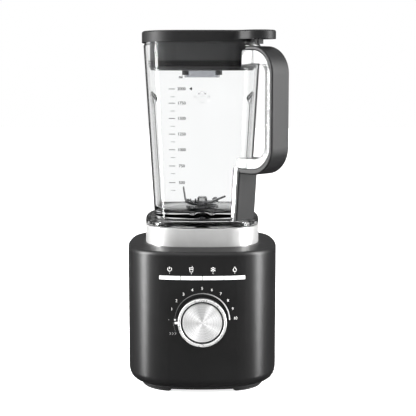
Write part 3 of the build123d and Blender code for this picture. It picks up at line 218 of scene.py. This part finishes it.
def spun(name):
    """Spun aluminium disc: rings of fine grooves, with the fan of light and dark wedges they throw painted into the
    base colour as painted highlights and painted shade.
    """
    m = Mat(name)
    m.set(Metallic=0.45, Anisotropic=0.5, Specular_IOR_Level=0.5)
    t = m.t.nodes.new("ShaderNodeTangent")
    t.direction_type, t.axis = "RADIAL", "Y"
    m.link(t.outputs[0], m.b.inputs["Tangent"])
    sep = m.t.nodes.new("ShaderNodeSeparateXYZ")
    m.link(m.mapping(loc=(0, 0, -0.0916)), sep.inputs[0])
    at = m.t.nodes.new("ShaderNodeMath")
    at.operation = "ARCTAN2"
    m.link(sep.outputs["Z"], at.inputs[0])
    m.link(sep.outputs["X"], at.inputs[1])
    ang = m.range(at.outputs[0], 0.0, 1.0, -math.pi, math.pi)
    # base colour: the aluminium's own silver tone, made lighter and darker in wedges by angle round the centre, a
    # painted reflection of the spun grooves (painted highlights and painted shade)
    painted_wedge_reflection = m.ramp(ang, [(0.0, 0.50), (0.05, 0.56), (0.13, 0.78), (0.17, 0.86), (0.23, 0.60), (0.29, 0.50), (0.36, 0.56), (0.42, 0.80), (0.47, 0.62),
                         (0.53, 0.74), (0.57, 0.80), (0.62, 0.60), (0.67, 0.84), (0.72, 0.46), (0.79, 0.40), (0.84, 0.62), (0.89, 0.80), (0.95, 0.62), (1.0, 0.50)])
    rad = m.t.nodes.new("ShaderNodeVectorMath")
    rad.operation = "LENGTH"
    comb = m.t.nodes.new("ShaderNodeCombineXYZ")
    m.link(sep.outputs["X"], comb.inputs["X"])
    m.link(sep.outputs["Z"], comb.inputs["Y"])
    m.link(comb.outputs[0], rad.inputs[0])
    wave = m.t.nodes.new("ShaderNodeTexNoise")
    wave.noise_dimensions = "1D"
    wave.inputs["Scale"].default_value = 2600.0
    m.link(rad.outputs["Value"], wave.inputs["W"])
    m.color(painted_wedge_reflection)
    m.rough(m.range(wave.outputs["Fac"], 0.24, 0.38))
    m.normal(m.bump(wave.outputs["Fac"], 0.25, 0.00003))
    return m


M["knob_face_spun"] = spun("knob_face_spun")
M["knob_silver"] = metal("knob_ring_satin", (0.70, 0.70, 0.695), rough=0.30)
M["knob_silver"].set(Metallic=0.6)

plug_mat = plastic("lid_plug_grey", (0.054, 0.054, 0.056), rough=0.38, grain=500, bump=0.06, spec=0.45)


def frosted(name):
    """The handle's inner frame: the same clear plastic, thick enough to look milky, with a satin skin."""
    m = Mat(name)
    m.set(Transmission_Weight=0.94, IOR=1.47, Specular_IOR_Level=0.5, Specular_Tint=(0.12, 0.12, 0.12, 1.0))
    m.color(m.ramp(m.noise(18.0, 3.0), [(0.3, (0.72, 0.73, 0.73)), (0.7, (0.80, 0.805, 0.805))]))
    m.rough(m.range(m.noise(90.0), 0.06, 0.14))
    m.normal(m.bump(m.noise(40.0, 2.0), 0.10, 0.0002))
    return m


core_mat = frosted("handle_core_clear")

for row in frame["record"]["subparts"]:
    ob = NODES[row["node"]]
    mat = M[row["material_slot"]].m
    if not ob.material_slots:
        ob.data.materials.append(mat)
    for s in ob.material_slots:
        s.material = plug_mat.m if row["node"] == "lid_plug" else mat


# ------------------------------------------------------------------ shape kit
def squircle(a, core=27.0, bulge=180.0, ns=40, nc=24):
    """Points of a rounded square of half width a, from the right end of the front side arc, counter-clockwise seen from above."""
    big, small, c = a + bulge, a - core, bulge
    k = (-c + math.sqrt(2 * (big - small) ** 2 - c * c)) / 2
    half_side = math.atan2(k, c + k)
    pts = []
    for q in range(4):
        rot = q * math.pi / 2
        cr, sr = math.cos(rot), math.sin(rot)
        local = []
        for i in range(ns):
            t = -half_side + 2 * half_side * i / ns
            local.append((big * math.sin(t), c - big * math.cos(t)))
        a0 = -math.pi / 2 + half_side
        a1 = -half_side
        for i in range(nc):
            t = a0 + (a1 - a0) * i / nc
            local.append((k + small * math.cos(t), -k + small * math.sin(t)))
        pts += [(x * cr - y * sr, x * sr + y * cr) for x, y in local]
    return pts


def mesh_object(name, verts, faces, mat, smooth=True):
    me = bpy.data.meshes.new(name)
    me.from_pydata([(x * MM, y * MM, z * MM) for x, y, z in verts], [], faces)
    me.validate()
    me.update()
    ob = bpy.data.objects.new(name, me)
    scene.collection.objects.link(ob)
    me.materials.append(mat)
    if smooth:
        me.polygons.foreach_set("use_smooth", [True] * len(me.polygons))
    return ob


def loft(rings, closed=True):
    """Faces through rings of equal length; closed joins the last ring to the first."""
    n = len(rings[0])
    verts = [p for r in rings for p in r]
    faces = []
    m = len(rings)
    for i in range(m if closed else m - 1):
        j = (i + 1) % m
        for q in range(n):
            w = (q + 1) % n
            faces.append((i * n + q, i * n + w, j * n + w, j * n + q))
    return verts, faces


def sharp_by_angle(ob, deg=35.0):
    me = ob.data
    bm = bmesh.new()
    bm.from_mesh(me)
    for e in bm.edges:
        if len(e.link_faces) == 2:
            e.smooth = e.calc_face_angle(0.0) < math.radians(deg)
    bm.to_mesh(me)
    bm.free()


def jar_a(z):
    return 59.2 + (z - 207.0) * 0.05922


# ------------------------------------------------------------------ the jar
RIB_TOP = 344.5


def rib_depth(s, z):
    """How far the pressed-in rib stands in at sideways distance s: a smooth ridge with a domed top, the same on both faces of the wall."""
    k = 1.0
    if z > RIB_TOP:
        d = (z - RIB_TOP) / 11.5
        k = math.sqrt(1 - d * d) if d < 1 else 0.0
    w = 10.6 * (0.55 + 0.45 * k)
    if k <= 0 or abs(s) >= w:
        return 0.0
    deep = 3.6 + 5.4 * math.exp(-(((z - 349.0) / 6.0) ** 2))
    return deep * k * (0.5 + 0.5 * math.cos(math.pi * s / w))


def soft_max0(v, k):
    if v > 4 * k:
        return v
    if v < -4 * k:
        return 0.0
    return k * math.log(1 + math.exp(v / k))


def jar_ring(a, z, kind, core=27.0):
    """One ring of the jar's wall; kind is outer, inner or plain."""
    out = []
    for x, y in squircle(a, core):
        if kind != "plain":
            if abs(x) > abs(y):
                s, sign_x, sign_y = y, (1 if x > 0 else -1), 0
            else:
                s, sign_x, sign_y = x, 0, (1 if y > 0 else -1)
            d = rib_depth(s, z - 2.2 if kind == "inner" and z > 340.0 else z)
            if kind == "outer":
                fade = min(1.0, max(0.0, (z - 209.0) / 9.0))
                d *= math.sqrt(max(0.0, 1 - (1 - fade) ** 2))
            x -= sign_x * d
            y -= sign_y * d
        out.append((x, y, z))
    return out


def build_jar():
    rings = []
    # foot, flange and shoulder
    rings += [jar_ring(65.2, 182.5, "plain"), jar_ring(66.0, 183.3, "plain"), jar_ring(66.0, 197.4, "plain"), jar_ring(66.6, 198.0, "plain")]
    rings += [jar_ring(69.3, 198.0, "plain"), jar_ring(70.0, 198.7, "plain"), jar_ring(70.0, 202.0, "plain")]
    for i in range(1, 7):
        t = math.pi / 2 * i / 6
        rings.append(jar_ring(66.5 + 3.5 * math.cos(t), 202.0 + 3.5 * math.sin(t), "plain"))
    rings += [jar_ring(63.0, 205.5, "plain"), jar_ring(60.9, 205.7, "plain"), jar_ring(59.8, 206.5, "plain")]
    z = 208.0
    zs = []
    while z < 345.0:
        zs.append(z)
        z += 1.6 if z < 222 else 3.4
    z = 345.0
    while z < 364.0:
        zs.append(z)
        z += 0.8
    zs += [368.0, 376.0, 384.0, 392.0, 400.0, 408.0, 412.5]
    zs = sorted(set([x for x in zs] + [276.5, 278.5, 280.5, 282.0, 283.5]))
    rings += [jar_ring(jar_a(z), z, "outer") for z in zs]
    rings += [jar_ring(71.2, 414.2, "plain"), jar_ring(70.4, 415.0, "plain"), jar_ring(70.4, 422.9, "plain"), jar_ring(69.6, 424.0, "plain")]
    rings += [jar_ring(68.8, 424.0, "plain"), jar_ring(68.2, 423.1, "plain"), jar_ring(68.1, 414.0, "plain")]
    zi = [z for z in zs if z > 222.0][::-1]
    rings += [jar_ring(jar_a(z) - 3.3, z, "inner") for z in zi]
    for i in range(7):
        t = math.pi / 2 * i / 6
        z = 221.5 - 7.0 * math.sin(t)
        rings.append(jar_ring(jar_a(221.5) - 3.3 - 7.0 * (1 - math.cos(t)), z, "inner"))
    # floor closing on the round hole, then the underside and the hollow foot
    base = squircle(jar_a(221.5) - 12.0)
    for f in (0.8, 0.55, 0.3, 0.1, 0.0):
        ring = []
        for x, y in base:
            d = math.hypot(x, y)
            cx, cy = x / d * 15.1, y / d * 15.1
            ring.append((cx + (x - cx) * f, cy + (y - cy) * f, 214.5 - 1.2 * (1 - f) * f))
        rings.append(ring)
    rings.append([(x, y, 206.5) for x, y, _ in rings[-1]])
    under = squircle(54.0)
    for f in (0.3, 0.7, 1.0):
        ring = []
        for x, y in under:
            d = math.hypot(x, y)
            cx, cy = x / d * 15.1, y / d * 15.1
            ring.append((cx + (x - cx) * f, cy + (y - cy) * f, 206.5))
        rings.append(ring)
    rings += [jar_ring(54.0, 198.6, "plain"), jar_ring(54.6, 198.0, "plain"), jar_ring(62.2, 198.0, "plain"), jar_ring(62.8, 197.4, "plain"), jar_ring(62.8, 182.9, "plain"), jar_ring(63.4, 182.5, "plain")]
    verts, faces = loft(rings)
    return mesh_object("jar_body", verts, faces, M["jar_clear"].m)


def arc(cx, cy, r, a0, a1, n):
    return [(cx + r * math.cos(math.radians(a0 + (a1 - a0) * i / n)), cy + r * math.sin(math.radians(a0 + (a1 - a0) * i / n))) for i in range(n + 1)]


def ut(u, t, z):
    return ((u + t) * H45, (t - u) * H45, z)


def corner_u(z, inset):
    k = (-180.0 + math.sqrt(2 * 207.0**2 - 180.0**2)) / 2
    return (k + (jar_a(z) - 27.0) * H45) / H45 - inset


def strip_u(z, inset):
    return 73.8 + (z - 205.0) * 0.0763 - inset


def ut_solid(name, loop, half, mat, radius=0.0, keep=None, segs=4):
    """A plate cut to loop in the handle's plane, half mm to each side, its long rims rounded where keep allows."""
    bm = bmesh.new()
    a = [bm.verts.new([c * MM for c in ut(u, -half, z)]) for u, z in loop]
    b = [bm.verts.new([c * MM for c in ut(u, half, z)]) for u, z in loop]
    fa = bm.faces.new(a)
    fb = bm.faces.new(b[::-1])
    n = len(loop)
    for i in range(n):
        j = (i + 1) % n
        bm.faces.new((a[j], a[i], b[i], b[j]))
    bmesh.ops.recalc_face_normals(bm, faces=bm.faces)
    if radius:
        rim = []
        for e in bm.edges:
            if fa in e.link_faces or fb in e.link_faces:
                mid = (e.verts[0].co + e.verts[1].co) / 2 / MM
                if keep is None or keep((mid.x - mid.y) * H45, mid.z):
                    rim.append(e)
        bmesh.ops.bevel(bm, geom=rim, offset=radius * MM, segments=segs, profile=0.5, affect="EDGES", clamp_overlap=True)
    me = bpy.data.meshes.new(name)
    bm.to_mesh(me)
    bm.free()
    ob = bpy.data.objects.new(name, me)
    scene.collection.objects.link(ob)
    me.materials.append(mat)
    me.polygons.foreach_set("use_smooth", [True] * len(me.polygons))
    sharp_by_angle(ob, 32.0)
    return ob


jar = build_jar()
sharp_by_angle(jar, 40.0)
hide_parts("jar_vessel")
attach(jar, "jar")

# the handle's inner frame, and the bar below it that carries the strip
core_out = arc(96.0, 380.0, 26.9, 90, 0, 18) + arc(96.0, 296.5, 26.9, 0, -90, 18)
core_in = arc(98.0, 299.0, 18.2, -90, 0, 12) + arc(105.0, 380.6, 11.2, 0, 90, 12)
loop = [(corner_u(406.9, -0.05), 406.9)] + core_out + [(corner_u(269.6, -0.05), 269.6), (corner_u(281.0, -0.05), 281.0), (86.0, 280.8)] + core_in
loop += [(92.0, 391.8), (84.5, 391.4), (corner_u(389.0, -1.4), 389.6), (corner_u(387.0, -0.05), 386.4)]
core = ut_solid("handle_core", loop, 14.2, core_mat.m, 3.2, keep=lambda u, z: (z < 398 and z > 275 and u < 119 and u > corner_u(z, -0.6)))
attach(core, "jar")
bar_loop = [(corner_u(205.8, -0.05) - 3.0, 205.8), (strip_u(205.8, 4.25), 205.8), (strip_u(269.4, 4.25), 269.4), (corner_u(269.4, -0.05), 269.4), (corner_u(269.4, -0.05) - 3.0, 269.4)]


def build_bar():
    """Follows the jar's rounded corner inside and is flat outside."""
    zs = [205.8 + (269.4 - 205.8) * i / 10 for i in range(11)]
    ts = [-16.0 + 32.0 * i / 16 for i in range(17)]
    verts, faces = [], []
    for z in zs:
        k = (-180.0 + math.sqrt(2 * 207.0**2 - 180.0**2)) / 2
        r = jar_a(z) - 27.0
        row = [ut(k / H45 + math.sqrt(r * r - t * t) + 0.06, t, z) for t in ts]
        row += [ut(strip_u(z, 4.25) - (0.8 if abs(t) > 15.5 else 0.0), t, z) for t in ts[::-1]]
        verts += row
    n = 34
    for i in range(10):
        for q in range(n):
            w = (q + 1) % n
            faces.append((i * n + q, i * n + w, (i + 1) * n + w, (i + 1) * n + q))
    faces.append(tuple(range(n))[::-1])
    faces.append(tuple(10 * n + q for q in range(n)))
    ob = mesh_object("corner_bar", verts, faces, core_mat.m)
    sharp_by_angle(ob, 32.0)
    return ob


bar = build_bar()
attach(bar, "jar")


# ------------------------------------------------------------------ marks printed on curved faces
def base_y(x, a=92.0):
    return -(math.sqrt((a + 168.0) ** 2 - x * x) - 168.0)


def jar_y(x, z):
    a = jar_a(z)
    return -(math.sqrt((a + 180.0) ** 2 - x * x) - 180.0)


def flat_to_surface(name, verts, faces, surf, lift, mat, body, slot=None):
    """verts are (x, z) in mm on the front; they are laid onto the surface, lift mm proud."""
    pts = [(x, surf(x, z) - lift, z) for x, z in verts]
    ob = mesh_object(name, pts, faces, mat, smooth=False)
    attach(ob, body)
    return ob


def text_shape(text, size, cx, cz, align="CENTER", weight=0.0):
    cu = bpy.data.curves.new("tmp_text", "FONT")
    cu.body, cu.size, cu.align_x, cu.align_y = text, size, align, "CENTER"
    cu.resolution_u = 4
    cu.offset = weight
    ob = bpy.data.objects.new("tmp_text", cu)
    scene.collection.objects.link(ob)
    dg = bpy.context.evaluated_depsgraph_get()
    me = bpy.data.meshes.new_from_object(ob.evaluated_get(dg))
    bm = bmesh.new()
    bm.from_mesh(me)
    bmesh.ops.triangulate(bm, faces=bm.faces)
    verts = [(v.co.x + cx, v.co.y + cz) for v in bm.verts]
    faces = [tuple(v.index for v in f.verts) for f in bm.faces]
    bm.free()
    bpy.data.meshes.remove(me)
    bpy.data.objects.remove(ob)
    bpy.data.curves.remove(cu)
    return verts, faces


def merge(shapes):
    verts, faces = [], []
    for v, f in shapes:
        o = len(verts)
        verts += v
        faces += [tuple(i + o for i in q) for q in f]
    return verts, faces


def band(path, widths, closed=False):
    """A flat stroke along path; widths is one number or one for each point."""
    n = len(path)
    if isinstance(widths, (int, float)):
        widths = [widths] * n
    verts, faces = [], []
    for i, (x, z) in enumerate(path):
        a = path[(i - 1) % n] if (i > 0 or closed) else path[i]
        b = path[(i + 1) % n] if (i < n - 1 or closed) else path[i]
        dx, dz = b[0] - a[0], b[1] - a[1]
        L = math.hypot(dx, dz) or 1.0
        nx, nz = -dz / L, dx / L
        w = widths[i] / 2
        verts += [(x + nx * w, z + nz * w), (x - nx * w, z - nz * w)]
    for i in range(n if closed else n - 1):
        j = (i + 1) % n
        faces.append((2 * i, 2 * i + 1, 2 * j + 1, 2 * j))
    return verts, faces


def disc(cx, cz, r, n=20):
    return [(cx + r * math.cos(2 * math.pi * i / n), cz + r * math.sin(2 * math.pi * i / n)) for i in range(n)], [tuple(range(n))]


def rect(cx, cz, w, h):
    return [(cx - w / 2, cz - h / 2), (cx + w / 2, cz - h / 2), (cx + w / 2, cz + h / 2), (cx - w / 2, cz + h / 2)], [(0, 1, 2, 3)]


def poly(pts):
    return list(pts), [tuple(range(len(pts)))]


KZ = 91.6
white = M["mark_white"].m
dim = plastic("mark_grey", (0.30, 0.30, 0.30), rough=0.4, vary=0.05, bump=0.02).m
fine_print = plastic("print_dark", (0.007, 0.007, 0.0075), rough=0.4, vary=0.05, bump=0.02).m
light_print = plastic("print_light", (0.12, 0.12, 0.125), rough=0.4, vary=0.05, bump=0.02).m

# dial scale: an arc that widens clockwise, a dot at its start, and the numbers
sweep = [180.0 - 180.0 * i / 60 for i in range(61)]
arc_path = [(32.3 * math.cos(math.radians(t)), KZ + 32.3 * math.sin(math.radians(t))) for t in sweep]
arc_mat = Mat("scale_fade")
arc_mat.set(Roughness=0.4)
sep = arc_mat.t.nodes.new("ShaderNodeSeparateXYZ")
arc_mat.link(arc_mat.co.outputs["Object"], sep.inputs[0])
arc_mat.color(arc_mat.ramp(arc_mat.range(sep.outputs["X"], 0.0, 1.0, -0.033, 0.033), [(0.0, 0.10), (0.45, 0.20), (0.8, 0.42), (1.0, 0.62)]))
arc_mat.normal(arc_mat.bump(arc_mat.noise(900.0), 0.05, 0.00003))
v, f = band(arc_path, [0.55 + 0.9 * i / 60 for i in range(61)])
flat_to_surface("dial_scale_arc", v, f, lambda x, z: base_y(x), 0.06, arc_mat.m, "base", "mark_white")
flat_to_surface("dial_start_dot", *disc(-32.3, KZ + 0.4, 1.05), lambda x, z: base_y(x), 0.07, white, "base", "mark_white")
nums = []
for i in range(1, 11):
    t = math.radians(177.5 - 17.45 * i)
    nums.append(text_shape(str(i), 4.8, 38.3 * math.cos(t) + (0.9 if i == 10 else 0), KZ + 38.3 * math.sin(t)))
v, f = merge(nums)
flat_to_surface("dial_numbers", v, f, lambda x, z: base_y(x), 0.07, white, "base", "mark_white")
# momentary range below the start: dots that shrink, and a short double chevron in place of a word
dots = [disc(34.4 * math.cos(math.radians(t)), KZ + 34.4 * math.sin(math.radians(t)), 0.42 - 0.03 * i, 12) for i, t in enumerate((186, 190, 194, 198, 202, 206))]
dots.append(disc(-39.6, KZ + 0.3, 0.55, 12))
chev = []
for i in range(3):
    x = -38.5 + 3.0 * i
    chev.append(band([(x, KZ - 17.8), (x + 1.3, KZ - 16.3), (x, KZ - 14.8)], 0.6))
v, f = merge(dots + chev)
flat_to_surface("dial_pulse_marks", v, f, lambda x, z: base_y(x), 0.07, dim, "base", "mark_white")


# ------------------------------------------------------------------ pictograms over the keys
def pic_power(cx, cz):
    ring = [(cx + 2.3 * math.cos(math.radians(t)), cz + 2.3 * math.sin(math.radians(t))) for t in range(125, 416, 10)]
    return merge([band(ring, 0.6), rect(cx, cz + 1.7, 0.6, 2.6)])


def pic_glass(cx, cz):
    return merge([band([(cx - 2.3, cz + 2.4), (cx - 1.5, cz - 2.5), (cx + 1.5, cz - 2.5), (cx + 2.3, cz + 2.4), (cx - 2.3, cz + 2.4)], 0.55), band([(cx - 1.9, cz + 0.7), (cx + 1.9, cz + 0.7)], 0.5), band([(cx + 0.4, cz + 2.4), (cx + 1.5, cz + 4.2)], 0.5)])


def pic_flake(cx, cz):
    parts = []
    for k in range(3):
        t = math.radians(90 + 60 * k)
        c, s = math.cos(t), math.sin(t)
        parts.append(band([(cx - 2.8 * c, cz - 2.8 * s), (cx + 2.8 * c, cz + 2.8 * s)], 0.5))
        for sg in (1, -1):
            px, pz = cx + 1.9 * sg * c, cz + 1.9 * sg * s
            for o in (40, -40):
                tt = math.radians(90 + 60 * k + o)
                parts.append(band([(px, pz), (px + 1.1 * sg * math.cos(tt), pz + 1.1 * sg * math.sin(tt))], 0.4))
    return merge(parts)


def pic_drop(cx, cz):
    pts = [(cx, cz + 2.9)] + [(cx + 1.9 * math.cos(math.radians(t)), cz - 0.8 + 1.9 * math.sin(math.radians(t))) for t in range(30, -211, -20)]
    return band(pts + [pts[0]], 0.55)


LX = [-38.3, -12.8, 12.7, 38.2]
v, f = merge([pic_power(LX[0], 152.6), pic_glass(LX[1], 152.2), pic_flake(LX[2], 152.4), pic_drop(LX[3], 152.4)] + [rect(x, 147.9, 0.5, 1.2) for x in LX])
flat_to_surface("key_pictograms", v, f, lambda x, z: base_y(x), 0.07, white, "base", "mark_white")

# ------------------------------------------------------------------ graduation on the jar
marks = {2000: 362.4, 1750: 345.8, 1500: 327.9, 1250: 309.4, 1000: 290.8, 750: 271.5, 500: 251.5}
ticks, halves, numerals = [], [], []
for ml, z in marks.items():
    ticks.append(rect(-35.6, z, 7.4, 0.75))
    numerals.append(text_shape(str(ml), 4.9, -24.1, z, weight=0.10))
    halves.append(rect(-34.6, z - 9.2, 5.4, 0.6))
numerals.append(text_shape("ml", 4.4, -25.0, 376.2, weight=0.16))
numerals.append(poly([(-15.2, 362.6), (-11.8, 364.6), (-11.8, 360.6)]))
v, f = merge(ticks + numerals)
flat_to_surface("jar_graduation", v, f, jar_y, 0.05, fine_print, "jar", "housing_black")
v, f = merge(halves)
flat_to_surface("jar_half_marks", v, f, jar_y, 0.05, light_print, "jar", "housing_black")

# ------------------------------------------------------------------ feet: four ribbed pads where the rubber ring is broad
def build_feet():
    verts, faces = [], []
    for q in range(4):
        rot = q * math.pi / 2
        cr, sr = math.cos(rot), math.sin(rot)
        k = (-168.0 + math.sqrt(2 * 202.0**2 - 168.0**2)) / 2
        prof = [(0.0, 3.0), (0.0, 0.8), (0.8, 0.0), (4.4, 0.0), (4.7, 0.5), (5.5, 0.5), (5.8, 0.0), (8.9, 0.0), (9.2, 0.5), (10.0, 0.5), (10.3, 0.0), (12.4, 0.0), (13.2, 0.8), (13.2, 3.0)]
        cols = []
        for i in range(41):
            s_ = -26.8 + i * 1.34
            t = math.radians(45) + s_ / 42.5
            dx, dy = math.cos(t), math.sin(t)
            end = min(1.0, (20 - abs(i - 20)) / 2.0)
            cols.append([(k + (42.5 - off) * dx, k + (42.5 - off) * dy, z + (0.0 if z > 2 else (1 - end) * 1.0)) for off, z in prof])
        base_i = len(verts)
        m = len(prof)
        for c in cols:
            verts += [(x * cr - y * sr, x * sr + y * cr, z) for x, y, z in c]
        for i in range(40):
            for j in range(m):
                w = (j + 1) % m
                faces.append((base_i + i * m + j, base_i + i * m + w, base_i + (i + 1) * m + w, base_i + (i + 1) * m + j))
        faces.append(tuple(base_i + j for j in range(m))[::-1])
        faces.append(tuple(base_i + 40 * m + j for j in range(m)))
    ob = mesh_object("feet_pads", verts, faces, M["rubber_black"].m)
    sharp_by_angle(ob, 30.0)
    return ob


feet = build_feet()
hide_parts("rubber_feet")
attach(feet, "base")

# ------------------------------------------------------------------ studio
floor_me = bpy.data.meshes.new("floor")
floor_me.from_pydata([(-6, -6, 0), (6, -6, 0), (6, 6, 0), (-6, 6, 0)], [], [(0, 1, 2, 3)])
floor = bpy.data.objects.new("floor", floor_me)
scene.collection.objects.link(floor)
fm = Mat("floor_pale")
fm.set(Specular_IOR_Level=0.2)
fm.color(fm.ramp(fm.noise(3.0), [(0.3, 0.93), (0.7, 0.94)]))
fm.set(Roughness=0.9, Emission_Color=(1, 1, 1, 1), Emission_Strength=0.78)
floor_me.materials.append(fm.m)
floor.visible_glossy = False
floor.visible_transmission = False

world = bpy.data.worlds.new("studio")
scene.world = world
world.use_nodes = True
wt = world.node_tree
wt.nodes.clear()
wo = wt.nodes.new("ShaderNodeOutputWorld")
bg = wt.nodes.new("ShaderNodeBackground")
bg.inputs["Color"].default_value = (1, 1, 1, 1)
wt.links.new(bg.outputs[0], wo.inputs[0])


def wmath(op, a, b=None, clamp=False):
    n = wt.nodes.new("ShaderNodeMath")
    n.operation = op
    n.use_clamp = clamp
    for i, v in enumerate((a, b)):
        if v is None:
            continue
        if isinstance(v, (int, float)):
            n.inputs[i].default_value = v
        else:
            wt.links.new(v, n.inputs[i])
    return n.outputs[0]


def wramp(v, lo, hi):
    n = wt.nodes.new("ShaderNodeMapRange")
    n.interpolation_type = "SMOOTHSTEP"
    n.inputs["From Min"].default_value = lo
    n.inputs["From Max"].default_value = hi
    wt.links.new(v, n.inputs["Value"])
    return n.outputs[0]


# The studio is white for what is seen directly. Polished surfaces mirror a dimmer room: grey in front and behind,
# dark low down and to the sides, a pale ceiling. Through the clear pieces the room is white with four pairs of dark
# cards standing round it, so that thick edges of clear plastic pick up dark lines.
wc = wt.nodes.new("ShaderNodeTexCoord")
ws = wt.nodes.new("ShaderNodeSeparateXYZ")
wt.links.new(wc.outputs["Generated"], ws.inputs[0])
up = wramp(ws.outputs["Z"], -0.45, 0.25)
ends = wmath("MULTIPLY", wramp(wmath("ABSOLUTE", ws.outputs["Y"]), 0.35, 0.95), wmath("ADD", wmath("MULTIPLY", up, 0.30), 0.02))
ceiling = wmath("MULTIPLY", wramp(ws.outputs["Z"], 0.25, 0.9), 0.60)
ends = wmath("MULTIPLY", ends, wmath("SUBTRACT", 1.0, wmath("MULTIPLY", wramp(ws.outputs["Y"], 0.2, 0.9), 0.7)))
room = wmath("ADD", wmath("ADD", ends, ceiling), 0.03)
azimuth = wmath("ARCTAN2", ws.outputs["X"], ws.outputs["Y"])
swing = wmath("COSINE", wmath("MULTIPLY", azimuth, 8.0))
flat = wmath("SUBTRACT", 1.0, wramp(wmath("ABSOLUTE", ws.outputs["Z"]), 0.35, 0.7))
cards = wmath("MULTIPLY", wmath("SUBTRACT", 1.0, wramp(swing, -0.92, -0.25)), flat)
through = wmath("SUBTRACT", 1.0, wmath("MULTIPLY", cards, 0.74))
through = wmath("MULTIPLY", through, wmath("SUBTRACT", 1.0, wmath("MULTIPLY", wramp(ws.outputs["Z"], 0.22, 0.5), 0.85)))
lp = wt.nodes.new("ShaderNodeLightPath")


def pick(cond, yes, no):
    return wmath("ADD", wmath("MULTIPLY", cond, yes), wmath("MULTIPLY", wmath("SUBTRACT", 1.0, cond), no))


mixed = pick(lp.outputs["Is Diffuse Ray"], 0.36, room)
mixed = pick(lp.outputs["Is Transmission Ray"], through, mixed)
mixed = pick(lp.outputs["Is Camera Ray"], 1.0, mixed)
wt.links.new(mixed, bg.inputs["Strength"])


def panel(name, loc, rot, size, power, spread=math.radians(180)):
    li = bpy.data.lights.new(name, "AREA")
    li.shape = "RECTANGLE"
    li.size, li.size_y = size
    li.energy = power
    li.spread = spread
    ob = bpy.data.objects.new(name, li)
    scene.collection.objects.link(ob)
    ob.location = loc
    ob.rotation_euler = rot
    return ob


def aim(ob, target):
    d = Vector(target) - ob.location
    ob.rotation_euler = d.to_track_quat("-Z", "Y").to_euler()


for name, loc, size, power in (
    ("strip_left", (-1.56, -0.24, 0.50), (0.34, 1.9), 96.0),
    ("strip_right", (1.52, -0.36, 0.50), (0.34, 1.9), 84.0),
):
    li = panel(name, loc, (0, 0, 0), size, power)
    aim(li, (0, 0, 0.25))
    li.visible_transmission = False

sun = bpy.data.lights.new("ceiling_soft", "SUN")
sun.energy, sun.angle = 1.1, math.radians(75)
sun_ob = bpy.data.objects.new("ceiling_soft", sun)
scene.collection.objects.link(sun_ob)
sun_ob.rotation_euler = (math.radians(12), 0, 0)

cam_data = bpy.data.cameras.new("camera")
cam = bpy.data.objects.new("camera", cam_data)
scene.collection.objects.link(cam)
scene.camera = cam
cam_data.sensor_width = 36.0
cam_data.lens = 1048.0 / 416.0 * 36.0
cam.location = (0.0, -1.300, 0.3809)
cam.rotation_euler = (math.radians(90.0 - 7.34), 0.0, -math.radians(0.32))
